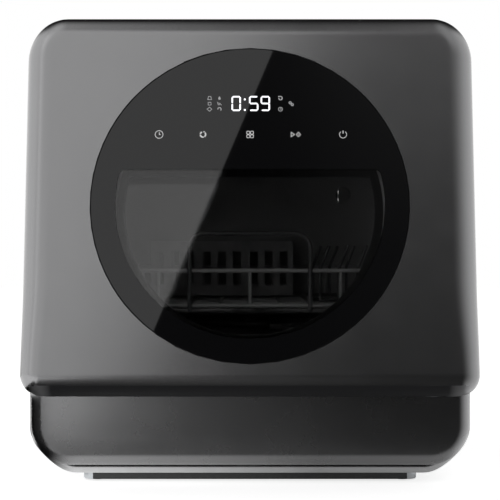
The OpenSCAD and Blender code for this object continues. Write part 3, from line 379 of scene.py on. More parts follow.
def cleaned_copy(node):
    """The node's solid with doubles merged and flat triangles joined into whole faces."""
    bm = bmesh.new()
    bm.from_mesh(nodes[node].data)
    bmesh.ops.remove_doubles(bm, verts=bm.verts, dist=DOUBLE)
    bmesh.ops.dissolve_limit(bm, angle_limit=SAME_PLANE, verts=bm.verts, edges=bm.edges)
    return bm


def dress(*names):
    for name in names:
        material, radius_mm = SKINS[name]
        piece = new_piece(name + "_skin", cleaned_copy(name), material)
        soften(piece, radius_mm * MM)
        flatten_shading(piece)
        hand_over(piece, BODY_OF[name], name)
    print("dressed:", *names)


# %% [markdown]
# ## The door
# The door is a slab that leans back by 7.5 degrees. All of its pieces are drawn upright in the door's own frame,
# x across, v up the slab and w out of its face, and one matrix leans them back into place.

# %% The door's own frame
LEAN = math.radians(7.5)
FRONT_Y, CHIN_Z = -0.2175, 0.112
HALF_W, DOOR_T = 0.210, 0.044
LIP_V, TOP_V = -0.019, 0.33436
DISC_V = 0.1560
DOOR_FRAME = Matrix((
    (1, 0, 0, 0),
    (0, math.sin(LEAN), -math.cos(LEAN), FRONT_Y),
    (0, math.cos(LEAN), math.sin(LEAN), CHIN_Z),
    (0, 0, 0, 1)))


def lean(piece):
    """Moves a piece drawn in the door's frame to its place, with the place kept in the mesh."""
    piece.data.transform(DOOR_FRAME)
    piece.data.update()
    return piece


print("top of the door:", tuple(round(c, 4) for c in DOOR_FRAME @ Vector((0, TOP_V, 0))))

# %% [markdown]
# The frame of the door is one moulding. Its face rolls over softly at the sides, more tightly at the top and into
# a lip at the foot. It could be sculpted or cut from a block. Here it is lofted: one outline with rounded corners
# is repeated inwards and forwards, and the roll's radius depends on which way the outline faces.

# %% Arcs and an outline with rounded corners
def arc_points(cx, cy, r, start, end, steps):
    """Points along an arc, each with its outward normal. The angles are in degrees."""
    turns = [math.radians(start + (end - start) * k / steps) for k in range(steps + 1)]
    return [(cx + r * math.cos(a), cy + r * math.sin(a), math.cos(a), math.sin(a)) for a in turns]


def between(p, q, t):
    return tuple(a + (b - a) * t for a, b in zip(p, q))


def rounded_outline(x0, y0, x1, y1, r_low, r_high, steps=18, side=14):
    """Points and outward normals of a rounded rectangle, from the lower right corner, anticlockwise."""
    corners = [arc_points(cx, cy, r, start, start + 90, steps) for cx, cy, r, start in (
        (x1 - r_low, y0 + r_low, r_low, -90), (x1 - r_high, y1 - r_high, r_high, 0),
        (x0 + r_high, y1 - r_high, r_high, 90), (x0 + r_low, y0 + r_low, r_low, 180))]
    outline = []
    for corner, following in zip(corners, corners[1:] + corners[:1]):
        last, first = corner[-1], following[0]
        outline += corner + [between(last[:2], first[:2], j / side) + last[2:] for j in range(1, side)]
    return outline


def quarter_turn(steps):
    return [math.pi / 2 * k / steps for k in range(steps + 1)]


# %% Skins over rings of points
def outward(bm):
    """Turns every face outwards."""
    bmesh.ops.recalc_face_normals(bm, faces=bm.faces)
    return bm


def band(bm, low, high):
    """One strip of faces between two closed rows of vertices."""
    n = len(low)
    for k in range(n):
        bm.faces.new((low[k], low[(k + 1) % n], high[(k + 1) % n], high[k]))


def loft(bm, rings):
    """Skins a list of rings of 3-D points, all of the same length."""
    rows = [[bm.verts.new(p) for p in ring] for ring in rings]
    for low, high in zip(rows, rows[1:]):
        band(bm, low, high)
    return rows


def lofted(rings, around=False):
    """Skins rings into a closed solid, with flat caps or joined end to end."""
    bm = bmesh.new()
    rows = loft(bm, rings)
    if around:
        band(bm, rows[-1], rows[0])
    else:
        bm.faces.new(rows[0][::-1])
        bm.faces.new(rows[-1])
    return outward(bm)


# %% The roll of the door's edge
SIDE_ROLL, TOP_ROLL, LIP_ROLL = 0.024, 0.0185, 0.0185
SOFTER_FROM, SOFTER_OVER = 0.018, 0.09
TOP_FLATTER = 0.32
DOOR_R_LOW, DOOR_R_HIGH = 0.020, 0.039
DOOR_WALL, RETURN_W = 0.0028, 0.012


def roll_radius(v, nx, nv):
    """Soft at the sides, tighter at the top and the lip, and never more than the lower corners can take."""
    vertical = TOP_ROLL if nv > 0 else LIP_ROLL
    up = min(max((v - LIP_V - SOFTER_FROM) / SOFTER_OVER, 0), 1)
    side = LIP_ROLL + (SIDE_ROLL - LIP_ROLL) * up * up * (3 - 2 * up)
    return side * nx * nx + vertical * nv * nv


def door_rings(inset, back, front):
    """Rings of the moulding from its back edge round the roll to its face."""
    outline = rounded_outline(-HALF_W + inset, LIP_V + inset, HALF_W - inset, TOP_V - inset,
                              DOOR_R_LOW - inset, DOOR_R_HIGH - inset)
    rings = [[(x, y, w) for x, y, _, _ in outline] for w in (back, back + RETURN_W)]
    for a in quarter_turn(12):
        ring = []
        for x, y, nx, ny in outline:
            r = roll_radius(y, nx, ny) - inset
            depth = r * (1 - TOP_FLATTER * max(ny, 0) ** 2)
            step = r * (1 - math.cos(a))
            ring.append((x - nx * step, y - ny * step, front - depth * (1 - math.sin(a))))
        rings.append(ring)
    return rings


print("rings of the door's roll:", len(door_rings(0.0, -DOOR_T, 0.0)))

# %% The door moulding
DISC_R, DISC_GAP = 0.146, 0.0006
SEAT_R, SEAT_W = DISC_R + DISC_GAP, -0.0046
LEDGE_R, LEDGE_W = DISC_R - 0.007, -0.007


def disc_ring(points, radius, w):
    """A ring on the glass's circle, with one point for each of the outline's."""
    turns = [math.atan2(y - DISC_V, x) for x, y, _ in points]
    return [(radius * math.cos(a), DISC_V + radius * math.sin(a), w) for a in turns]


def door_moulding():
    rings = door_rings(0.0, -DOOR_T, 0.0)
    face = rings[-1]
    rim = disc_ring(face, SEAT_R, 0.0)
    rings += [[between(p, q, t) for p, q in zip(face, rim)] for t in (0.04, 0.35, 0.7, 0.97)]
    for radius, w in ((SEAT_R + 0.0004, 0.0), (SEAT_R + 0.0001, -0.0003), (SEAT_R, -0.001), (SEAT_R, SEAT_W),
                      (LEDGE_R, SEAT_W), (LEDGE_R, LEDGE_W), (DISC_R + 0.004, LEDGE_W)):
        rings.append(disc_ring(face, radius, w))
    inner = door_rings(DOOR_WALL, -DOOR_T, -DOOR_WALL)
    shelf = disc_ring(inner[-1], DISC_R + 0.004, -0.0045)
    rings.append([between(p, q, 0.5) for p, q in zip(shelf, inner[-1])])
    return lofted(rings + inner[::-1], around=True)


# %% [markdown]
# Slots and holes are cut with booleans. They could be modelled into the rings, but then every ring would need points
# at each hole's edge. A cutter is a plain box or prism that starts well outside the skin that it opens, because a
# boolean can't tell in from out where two faces lie in one plane.

# %% Cutters
def box_cutter(x0, v0, w0, x1, v1, w1):
    bm = bmesh.new()
    bmesh.ops.create_cube(bm, size=1)
    for v in bm.verts:
        v.co = Vector((x0 + (v.co.x + 0.5) * (x1 - x0), v0 + (v.co.y + 0.5) * (v1 - v0),
                       w0 + (v.co.z + 0.5) * (w1 - w0)))
    return bm


def prism_cutter(outline, low, high, matrix=None):
    """A closed prism over an outline. Only the x and y of its points count."""
    bm = lofted([[(*point[:2], z) for point in outline] for z in (low, high)])
    if matrix:
        bmesh.ops.transform(bm, matrix=matrix, verts=bm.verts)
    return bm


def cut(piece, cutters):
    """Takes each cutter out of the piece, and removes the cutters."""
    tools = [new_piece(f"cutter_{k}", bm, DARK_PLASTIC) for k, bm in enumerate(cutters)]
    for tool in tools:
        knife = piece.modifiers.new("cut", "BOOLEAN")
        knife.operation, knife.solver, knife.object = "DIFFERENCE", "EXACT", tool
    apply_modifiers(piece)
    for tool in tools:
        bpy.data.objects.remove(tool)


# %% [markdown]
# The underside of the lip is painted shade: a near-black plastic with almost no shine stands in for the shadow
# under the lip, and near both ends it fades into lacquer. The seat round the glass is rubber, so that no bright line
# stands between disc and frame.

# %% The door's skin
NOTCH_X, NOTCH_HALF = 0.171, 0.011
NOTCH_TOP, NOTCH_DEEP = -0.003, -0.0295
# Where the lip's painted shade gives way to lacquer, and where it stops, as distances from the middle
PAINTED_SHADE_TO, LACQUER_FROM, LIP_END = HALF_W - 0.030, HALF_W - 0.010, HALF_W - 0.008
SEAT_EDGE = SEAT_R + 0.0003


def notch_cutters():
    return [box_cutter(s * NOTCH_X - NOTCH_HALF, LIP_V - 0.002, -DOOR_T - 0.003,
                       s * NOTCH_X + NOTCH_HALF, NOTCH_TOP, NOTCH_DEEP) for s in (-1, 1)]


def lip_painted_shade():
    """Painted shade under the lip, near-black with little shine, that turns to lacquer towards both ends of the lip."""
    mat = finish("painted_lip_shade", RUBBER_AND_SHADE_BLACK, 0.6)
    out = abs(axes(texture_point(mat.node_tree))[0])
    for socket, shade_value, lacquer_value in (("Metallic", 0, 1), ("Roughness", 0.6, LACQUER_ROUGH),
                                  ("Specular IOR Level", 0.08, 0.5)):
        plug(mat, socket, out.ramp(PAINTED_SHADE_TO, LACQUER_FROM, (shade_value, lacquer_value)))
    plug(mat, "Base Color", colour_ramp(out.ramp(PAINTED_SHADE_TO, LACQUER_FROM), (0, RUBBER_AND_SHADE_BLACK), (1, LACQUER_GREY)))
    bump(mat, grain_texture(mat, 4), 0.01, 0.25)
    return mat


def under_the_lip(face):
    return face.normal.y < -0.5 and face.center.y < LIP_V + LIP_ROLL and abs(face.center.x) < LIP_END


def in_the_seat(face):
    return not under_the_lip(face) and math.hypot(face.center.x, face.center.y - DISC_V) < SEAT_EDGE


door_skin = new_piece("door_moulding", door_moulding(), LACQUER)
cut(door_skin, notch_cutters())
soften(door_skin)
# Painted shade: the faces under the lip take a near-black, nearly unreflective finish in place of their shadow
paint(door_skin, lip_painted_shade(), under_the_lip)
paint(door_skin, RUBBER, in_the_seat)
hand_over(lean(door_skin), "door", "door_frame")
print("door moulding:", len(door_skin.data.polygons), "faces")

# %% [markdown]
# The glass is one flush disc. It is printed black from behind, apart from a smoked window: a circle with a
# straight top and two rounded corners. The print could be a second disc, but then the window's edge would float.
# One material reads the distance from the disc's centre on the glass itself, and mixes smoked glass with black print.

# %% The shape of the window as a mask
WINDOW_R, WINDOW_TOP, WINDOW_CORNER = 0.1240, 0.0322, 0.0045
DISC_CENTRE = DOOR_FRAME @ Vector((0, DISC_V, 0))


def window_mask(tree):
    """1 inside the smoked window and 0 on the print, measured in the door's frame."""
    x, v, _ = axes(add_node(tree, "ShaderNodeMapping", {
        "Vector": texture_point(tree), "Location": DISC_CENTRE, "Rotation": (math.pi / 2 - LEAN, 0, 0)},
        {"vector_type": "TEXTURE"}).outputs["Vector"])
    # Each edge counts from 0, a corner's radius inside it, to 1 on it. Their joint length rounds the corners.
    edges = [where.ramp(limit - WINDOW_CORNER, limit + WINDOW_CORNER, (0, 2))
             for where, limit in ((length_of(x, v), WINDOW_R), (v, WINDOW_TOP))]
    return length_of(*edges).ramp(1.08, 0.92)


# %% Smoked glass with black print
SMOKED, PRINTED = (0.6, 0.6, 0.6), (0.0035, 0.0035, 0.0038)


def printed_glass():
    mat = finish("smoked_printed_glass", SMOKED, 0.02, IOR=1.46)
    mask = window_mask(mat.node_tree)
    plug(mat, "Transmission Weight", mask)
    # The colour turns pale only where the print has gone, so that no pale line stands along its edge
    colour = {"Factor": mask.ramp(0.97, 1), "A": (*PRINTED, 1), "B": (*SMOKED, 1)}
    plug(mat, "Base Color", add_node(mat.node_tree, "ShaderNodeMix", colour, {"data_type": "RGBA"}).outputs["Result"])
    return mat


# %% The disc with its polished edge
DISC_THICK, DISC_EDGE = 0.004, 0.0002


def turned(profile, steps=48, centre=(0, 0)):
    """A profile of (radius, height) turned about an upright axis, with closed ends."""
    turns = [2 * math.pi * k / steps for k in range(steps)]
    return lofted([[(centre[0] + r * math.cos(a), centre[1] + r * math.sin(a), h) for a in turns] for r, h in profile])


glass = new_piece("door_glass_disc", turned(
    [(DISC_R - DISC_EDGE, -DISC_THICK), (DISC_R, DISC_EDGE - DISC_THICK), (DISC_R, -DISC_EDGE),
     (DISC_R - DISC_EDGE, 0)], 160, (0, DISC_V)), printed_glass())
hand_over(lean(soften(glass)), "door", "door_glass")
print("glass radius in mm:", DISC_R / MM)

# %% [markdown]
# ## The lit time and the printed keys
# The signs on the glass are thin plates, a twentieth of a millimetre thick and just clear of it. A font could write
# the time, but a seven-segment display has its own shapes, so each digit is built from seven six-sided bars. The key
# signs are stroked paths: a line of points is given a width, and arcs are paths too.

# %% Strokes
SIGN_LOW, SIGN_HIGH = 0.00006, 0.00006 + 0.00005


def ribbon(bm, path, width, closed=False):
    """A flat stroke of even width along a path of (x, v) points, with mitred turns."""
    n = len(path)
    left, right = [], []
    for k in range(n):
        p = Vector(path[k])
        before = Vector(path[k - 1]) if closed or k else p
        after = Vector(path[(k + 1) % n]) if closed or k < n - 1 else p
        d0, d1 = (p - before), (after - p)
        d0 = d0.normalized() if d0.length else d1.normalized()
        d1 = d1.normalized() if d1.length else d0
        tangent = (d0 + d1).normalized()
        normal = Vector((-tangent.y, tangent.x))
        reach = width / 2 / max(0.35, normal.dot(Vector((-d0.y, d0.x))))
        left.append(p + normal * reach)
        right.append(p - normal * reach)
    low_l, low_r, high_l, high_r = [
        [bm.verts.new((q.x, q.y, w)) for q in side] for w in (SIGN_LOW, SIGN_HIGH) for side in (left, right)]
    for k in range(n if closed else n - 1):
        j = (k + 1) % n
        bm.faces.new((high_r[k], high_r[j], high_l[j], high_l[k]))
        bm.faces.new((low_l[k], low_l[j], low_r[j], low_r[k]))
        bm.faces.new((low_r[k], low_r[j], high_r[j], high_r[k]))
        bm.faces.new((high_l[k], high_l[j], low_l[j], low_l[k]))
    if not closed:
        bm.faces.new((low_l[0], low_r[0], high_r[0], high_l[0]))
        bm.faces.new((high_l[-1], high_r[-1], low_r[-1], low_l[-1]))


# %% Paths and filled shapes
def arc(cx, cy, r, start, end, steps=28):
    return [point[:2] for point in arc_points(cx, cy, r, start, end, steps)]


def ring_path(cx, cy, r, steps=36):
    return arc(cx, cy, r, 0, 360, steps)[:-1]


def square_path(x, v, half, corner, steps=5):
    """A square with rounded corners."""
    loop = []
    for k, (sx, sy) in enumerate(((1, 1), (-1, 1), (-1, -1), (1, -1))):
        loop += arc(x + sx * (half - corner), v + sy * (half - corner), corner, 90 * k, 90 * k + 90, steps)
    return loop


def filled(bm, outline):
    low, high = [[bm.verts.new((x, y, w)) for x, y in outline] for w in (SIGN_LOW, SIGN_HIGH)]
    bm.faces.new(high)
    bm.faces.new(low[::-1])
    band(bm, low, high)


def on_the_glass(name, bm, material):
    """Stands flat signs on the glass as one piece."""
    hand_over(lean(new_piece(name, outward(bm), material)), "door", slot="pale_plastic")


# %% The seven-segment time
SEGMENTS = {"0": "abcdef", "5": "afgcd", "9": "abcdfg"}
DIGIT_W, DIGIT_H, BAR, BAR_GAP = 0.0086, 0.0142, 0.0013, 0.00022
TIME_V = DISC_V + 0.0940
LIT_WHITE = (0.95, 0.96, 1.0)


def bar_outline(a, b, width):
    """A bar with pointed ends between two points."""
    d = (b - a).normalized()
    n = Vector((-d.y, d.x)) * width / 2
    tip = d * width * 0.42
    return [tuple(q) for q in (a, a + tip - n, b - tip - n, b, b - tip + n, a + tip + n)]


def digit(bm, char, cx, cy):
    w, h = DIGIT_W / 2 - BAR / 2, DIGIT_H / 2 - BAR / 2
    ends = {"a": (-w, h, w, h), "b": (w, h, w, 0), "c": (w, 0, w, -h), "d": (-w, -h, w, -h),
            "e": (-w, -h, -w, 0), "f": (-w, 0, -w, h), "g": (-w, 0, w, 0)}
    for name in SEGMENTS[char]:
        x0, y0, x1, y1 = ends[name]
        d = (Vector((x1, y1)) - Vector((x0, y0))).normalized() * BAR_GAP
        filled(bm, bar_outline(Vector((cx + x0 + d.x, cy + y0 + d.y)), Vector((cx + x1 - d.x, cy + y1 - d.y)), BAR))


lit = finish("lit_white", LIT_WHITE, 0.5, Emission_Color=(*LIT_WHITE, 1), Emission_Strength=1.1)
tint(lit, grain_texture(lit, 6), [c * 0.97 for c in LIT_WHITE], LIT_WHITE)
time_signs = bmesh.new()
for char, x in (("0", -0.01275), ("5", 0.0034), ("9", 0.0142)):
    digit(time_signs, char, x, TIME_V)
for v in (0.0039, -0.0061):
    filled(time_signs, ring_path(-0.0048, TIME_V + v, 0.0009, 20))
on_the_glass("lit_time", time_signs, lit)
print("time height in mm:", round(DIGIT_H / MM, 1))

# %% The five key signs
KEY_V = DISC_V + 0.0647
KEY_XS = (-0.0839, -0.0434, 0.0001, 0.0417, 0.0859)
STROKE = 0.00062


def clock_sign(bm, x, v):
    ribbon(bm, ring_path(x, v, 0.0036), STROKE, closed=True)
    ribbon(bm, [(x + 0.0002, v + 0.0020), (x + 0.0002, v), (x + 0.0014, v)], STROKE * 1.2)


def turn_sign(bm, x, v):
    for start, end in ((112, 168), (184, 288), (304, 406)):
        ribbon(bm, arc(x, v, 0.00245, start, end, 16), STROKE * 2.2)
    dot_x, dot_v = arc(x, v, 0.0027, 70, 70, 1)[0]
    filled(bm, ring_path(dot_x, dot_v, 0.0006, 16))


def grid_sign(bm, x, v):
    for dx in (-0.0017, 0.0017):
        for dy in (-0.0017, 0.0017):
            ribbon(bm, square_path(x + dx, v + dy, 0.0014, 0.0009), STROKE, closed=True)


def play_sign(bm, x, v):
    ribbon(bm, [(x - 0.0037, v + 0.0021), (x - 0.0006, v), (x - 0.0037, v - 0.0021)], STROKE, closed=True)
    ribbon(bm, [(x + 0.0030, v + 0.0021), (x + 0.0050, v), (x + 0.0030, v - 0.0021), (x + 0.0010, v)],
           STROKE, closed=True)
    filled(bm, ring_path(x + 0.0030, v, 0.0004, 12))


def power_sign(bm, x, v):
    ribbon(bm, arc(x, v, 0.0033, 128, 412), STROKE)
    ribbon(bm, [(x, v + 0.0036), (x, v + 0.0009)], STROKE * 1.4)


keys = bmesh.new()
for sign, x in zip((clock_sign, turn_sign, grid_sign, play_sign, power_sign), KEY_XS):
    sign(keys, x, KEY_V)
on_the_glass("key_signs", keys, INK)
print("keys:", len(KEY_XS))


# %% The small lamps beside the time
LAMP_STROKE = STROKE * 0.9
LEFT_X, MID_X, RIGHT_X, FAR_X = -0.0374, -0.0283, 0.0282, 0.0382
HIGH_V, CENTRE_V, LOW_V = TIME_V + 0.0051, TIME_V - 0.0002, TIME_V - 0.0054


def lamp_signs():
    """Programme lamps: pot, square, diamond, drop, spray, moon, then drum, dial and leaves."""
    bm = bmesh.new()

    def stroke(path, share=1.0, closed=False):
        ribbon(bm, path, LAMP_STROKE * share, closed)

    stroke([(LEFT_X - 0.0011, HIGH_V + 0.0016), (LEFT_X + 0.0011, HIGH_V + 0.0016),
            (LEFT_X + 0.0017, HIGH_V - 0.0014), (LEFT_X - 0.0017, HIGH_V - 0.0014)], closed=True)
    stroke(square_path(LEFT_X, CENTRE_V, 0.0013, 0.0003), closed=True)
    stroke([(LEFT_X, LOW_V + 0.0019), (LEFT_X + 0.0021, LOW_V), (LEFT_X, LOW_V - 0.0019),
            (LEFT_X - 0.0024, LOW_V)], closed=True)
    filled(bm, [(MID_X, HIGH_V + 0.0017)] + arc(MID_X, HIGH_V - 0.0004, 0.0012, 30, -210, 18))
    for k in range(3):
        stroke([(MID_X - 0.0019 + 0.0013 * k, CENTRE_V + 0.0016 - 0.0006 * k),
                (MID_X - 0.0008 + 0.0013 * k, CENTRE_V - 0.0014)])
    stroke(arc(MID_X, LOW_V, 0.0015, -50, 190, 18), 1.6)
    stroke(arc(RIGHT_X, HIGH_V, 0.0016, -180, 130, 22), 1.6)
    filled(bm, [(RIGHT_X - 0.0018, HIGH_V + 0.0004), (RIGHT_X - 0.0004, HIGH_V + 0.0020),
                (RIGHT_X - 0.0022, HIGH_V + 0.0020)])
    stroke(ring_path(RIGHT_X, LOW_V, 0.0018, 28), closed=True)
    stroke([(RIGHT_X, LOW_V + 0.0010), (RIGHT_X, LOW_V), (RIGHT_X + 0.0009, LOW_V)])
    for k in (-1, 1):
        stroke(ring_path(FAR_X + 0.0010 * k, CENTRE_V - 0.0009 * k, 0.0010, 16), 1.4, closed=True)
    return bm


on_the_glass("lamp_signs", lamp_signs(), moulded("dim_lamp", (0.5, 0.5, 0.51), 0.5, 0.02))
print("lamps drawn at height in mm:", round((DOOR_FRAME @ Vector((0, TIME_V, 0))).z / MM, 1))

# %% [markdown]
# ## The cabinet, the base pan and the fascia
# The cabinet is one hood of sheet that wraps the sides and the top, and the pan is the tray it stands in. Both are
# extrusions of one rounded section. An extrusion with a Solidify modifier would do, but its front has to follow
# the leaning door. So the cut through the sheet is drawn as a small loop, and the loop walks along the section.

# %% The body's measures
SHELL_TOP, SEAM_Z, PAN_Z = 0.440, 0.0568, 0.0108
BASE_Y, REAR_Y, FRAME_Z = -0.1497, 0.2175, 0.104
CORNER_TOP, CORNER_BASE, SHEET = 0.039, 0.044, 0.0025
FRAME_GAP = 0.003
FRAME_W = -DOOR_T - FRAME_GAP


def slope_y(z, w):
    """Where the plane at depth w of the door's frame lies at a height z."""
    return FRONT_Y - w / math.cos(LEAN) + (z - CHIN_Z) * math.tan(LEAN)


print("front of the frame at its foot, y:", round(slope_y(FRAME_Z, FRAME_W), 4))


# %% A section's path and the cut that walks along it
def line_points(x0, z0, x1, z1, nx, nz, steps):
    """Points inside a straight run, all with one normal."""
    return [(x0 + (x1 - x0) * k / steps, z0 + (z1 - z0) * k / steps, nx, nz) for k in range(1, steps)]


def mirrored(half, middle):
    """A path to the middle point, and from there its mirror image back."""
    return half + [middle] + [(-x, z, -nx, nz) for x, z, nx, nz in half[::-1]]


def walk(path, section):
    """One loop of (inset, y) pairs for each point of the path, set square to it, as a solid."""
    return lofted([[(x - nx * inset, y, z - nz * inset) for inset, y in section(z, nx, nz)]
                   for x, z, nx, nz in path])


# %% The hood
FILL_X, FILL_Y, FILL_R = -0.140, 0.130, 0.027
FILL_GAP, FILL_HINGE_HALF, FILL_HINGE_Y = 0.004, 0.012, 0.172


def hood_path():
    """From the seam on the right, over the top, down to the seam on the left."""
    right = [(HALF_W, z, 1, 0) for z in (SEAM_Z, 0.08, FRAME_Z - 0.00001, FRAME_Z, 0.16, 0.24, 0.32)]
    over = arc_points(HALF_W - CORNER_TOP, SHELL_TOP - CORNER_TOP, CORNER_TOP, 0, 90, 20)
    top = line_points(HALF_W - CORNER_TOP, SHELL_TOP, 0, SHELL_TOP, 0, 1, 5)
    return mirrored(right + over + top, (0, SHELL_TOP, 0, 1))


def hood_cut(z, *_):
    front = slope_y(z, FRAME_W) if z >= FRAME_Z else BASE_Y
    return [p[:2] for p in rounded_outline(0, front, SHEET, REAR_Y, 0.0009, 0.0009, 3, 1)]


hood = new_piece("cabinet_hood", walk(hood_path(), hood_cut), LACQUER)
cut(hood, [prism_cutter(arc_points(FILL_X, FILL_Y, FILL_R + FILL_GAP, 0, 360, 72)[:-1], 0.43, 0.45),
           box_cutter(FILL_X - FILL_HINGE_HALF, FILL_Y, 0.43, FILL_X + FILL_HINGE_HALF, FILL_HINGE_Y, 0.45)])
hand_over(soften(hood), "base", "cabinet_shell")
print("hood from z", SEAM_Z, "to", SHELL_TOP)

# %% [markdown]
# The pan's front edge shows as a pale band under the fascia. It rolls from facing forwards to facing down, with
# most of its radius at the bottom and almost none at the sides, and so it mirrors the floor. At the two lower
# corners the roll is deeper, so that the fascia covers it there.

# %% The base pan
SIDE_LIP, LOW_LIP, CORNER_LIP, CORNER_DEEP = 0.0008, 0.0050, 0.0045, 0.022


def pan_path():
    corner = arc_points(-HALF_W + CORNER_BASE, PAN_Z + CORNER_BASE, CORNER_BASE, 180, 270, 26)
    low = line_points(-HALF_W + CORNER_BASE, PAN_Z, 0, PAN_Z, 0, -1, 6)
    return mirrored([(-HALF_W, SEAM_Z, -1, 0)] + corner + low, (0, PAN_Z, 0, -1))


def pan_cut(_, nx, nz):
    corner = (2 * nx * nz) ** 2
    roll = SIDE_LIP + LOW_LIP * max(0.0, -nz) ** 1.3
    inset, deep = roll + CORNER_LIP * corner, roll + CORNER_DEEP * corner
    thick = max(SHEET, inset + 0.0008)
    loop = [(inset - inset * math.cos(a), BASE_Y + deep - deep * math.sin(a)) for a in quarter_turn(8)]
    loop += [(thick, BASE_Y), (thick + 0.0002, BASE_Y + 0.003), (SHEET, BASE_Y + 0.010 + deep)]
    return loop + [(SHEET, REAR_Y - 0.0006), (SHEET - 0.0006, REAR_Y), (0.0008, REAR_Y), (0, REAR_Y - 0.0008)]


pan = new_piece("base_tray", walk(pan_path(), pan_cut), PAN_PAINT)
hand_over(soften(pan), "base", "base_pan")
print("pan faces:", len(pan.data.polygons))

# %% [markdown]
# The fascia is a shallow tub moulding with a soft roll all round its face. It stands 13 mm proud of the pan and
# hides the front of the works. Its top edge is cut straight, out of sight behind the door's lip.

# %% The fascia's rows
FASCIA_X, FASCIA_Z0, FASCIA_TOP = HALF_W - 0.0008, 0.0192, 0.088
FASCIA_Y, FASCIA_ROLL, FASCIA_CORNER = BASE_Y - 0.013, 0.0125, 0.040


def fascia_row(step, y):
    """The fascia's outline without its top edge, moved inwards by a step."""
    r = FASCIA_CORNER - step
    x1, z0 = FASCIA_X - step, FASCIA_Z0 + step
    corner = [(x1 - r + r * math.cos(a), z0 + r - r * math.sin(a)) for a in quarter_turn(22)]
    half = [(x1, FASCIA_TOP), (x1, 0.072)] + corner + [((x1 - r) * (1 - k / 8), z0) for k in range(1, 8)]
    return [(x, y, z) for x, z in half + [(0.0, z0)] + [(-x, z) for x, z in half[::-1]]]


def fascia_rows(inset):
    """One side of the moulding's wall, from its back edge round the roll to its face."""
    roll = FASCIA_ROLL - inset
    return [fascia_row(inset, BASE_Y)] + [
        fascia_row(inset + roll * (1 - math.cos(a)), FASCIA_Y + inset + roll * (1 - math.sin(a)))
        for a in quarter_turn(12)]


# %% The fascia
def fascia_solid():
    bm = bmesh.new()
    walls = []
    for rows in (fascia_rows(0), fascia_rows(SHEET)):
        made = [[bm.verts.new(p) for p in row] for row in rows]
        for low, high in zip(made, made[1:]):
            for k in range(len(low) - 1):
                bm.faces.new((low[k], low[k + 1], high[k + 1], high[k]))
        bm.faces.new(made[-1])
        walls.append(made)
    skin, lining = walls
    for k in range(len(skin[0]) - 1):
        bm.faces.new((skin[0][k + 1], skin[0][k], lining[0][k], lining[0][k + 1]))
    bm.faces.new([row[0] for row in skin] + [row[-1] for row in skin[::-1]]
                 + [row[-1] for row in lining] + [row[0] for row in lining[::-1]])
    return outward(bm)


fascia = new_piece("fascia_moulding", fascia_solid(), FASCIA_LACQUER)
hand_over(soften(fascia), "base", "front_fascia")
print("fascia stands proud by mm:", round((BASE_Y - FASCIA_Y) / MM, 1))

# %% [markdown]
# The plinth and the pads are simple pressed and moulded shapes with rounded rims. One helper rounds both rims of
# any flat outline. It is used again for the spray arms. The plinth is a tray that is open underneath.

# %% A flat outline with rounded rims
def rim_solid(outline, z0, z1, low_edge, high_edge, steps=4):
    """A plate over an outline of (x, y, nx, ny), with its two rims rounded."""
    rising = [math.pi / 2 * (1 - k / steps) for k in range(steps + 1)]
    rings = []
    for z, edge, turns in ((z0, low_edge, rising), (z1, -high_edge, quarter_turn(steps))):
        for a in turns:
            inset = abs(edge) * (1 - math.cos(a))
            rings.append([(x - nx * inset, y - ny * inset, z + edge * (1 - math.sin(a))) for x, y, nx, ny in outline])
    return lofted(rings)


def circle_outline(cx, cy, r, steps=48):
    return arc_points(cx, cy, r, 0, 360, steps)[:-1]


def join(name, pieces):
    """Merges finished pieces into one that has the first one's material."""
    bm = bmesh.new()
    for piece in pieces:
        bm.from_mesh(piece.data)
    material = pieces[0].data.materials[0]
    for piece in pieces:
        bpy.data.objects.remove(piece)
    return new_piece(name, bm, material)


# %% The plinth
PLINTH_X, PLINTH_Y0, PLINTH_Y1, PLINTH_WALL = 0.163, -0.125, 0.150, 0.003
PLINTH_END = PLINTH_X - 0.010


def plinth_outline(inset, r):
    return rounded_outline(-PLINTH_X + inset, PLINTH_Y0 + inset, PLINTH_X - inset, PLINTH_Y1 - inset, r, r, 8, 3)


plinth = new_piece("plinth_tray", rim_solid(plinth_outline(0, 0.010), 0.0009, PAN_Z, 0.0012, 0.0004), PLINTH_PLASTIC)
cut(plinth, [prism_cutter(plinth_outline(PLINTH_WALL, 0.007), -0.001, PAN_Z - 0.002)])
paint(plinth, ZINC, lambda face: abs(face.center.x) > PLINTH_END and abs(face.normal.z) < 0.9)
hand_over(soften(plinth), "base", "plinth")
print("plinth wall in mm:", PLINTH_WALL / MM)

# %% The feet
FOOT_IN, FOOT_R, FOOT_H = 0.0142, 0.0105, 0.0088
FEET_AT = [(x, y) for x in (-PLINTH_X + FOOT_IN, PLINTH_X - FOOT_IN)
           for y in (PLINTH_Y0 + FOOT_IN, PLINTH_Y1 - FOOT_IN)]
feet = join("rubber_feet", [
    new_piece("pad", rim_solid(circle_outline(x, y, FOOT_R, 40), 0, FOOT_H, 0.0012, 0.0003), RUBBER)
    for x, y in FEET_AT])
hand_over(soften(feet), "base", "foot_pads")

# %% [markdown]
# ## The front frame and its gasket
# The grey frame closes the cabinet round the tub's mouth, in the same plane as the leaning door. The gasket is a
# hollow rubber bulb. A torus would be the wrong outline, so a half-round section walks round the mouth instead.

# %% The gasket
TUB_X, TUB_Z0, TUB_Z1, TUB_Y = 0.165, 0.145, 0.400, 0.162
MOUTH_R = 0.020


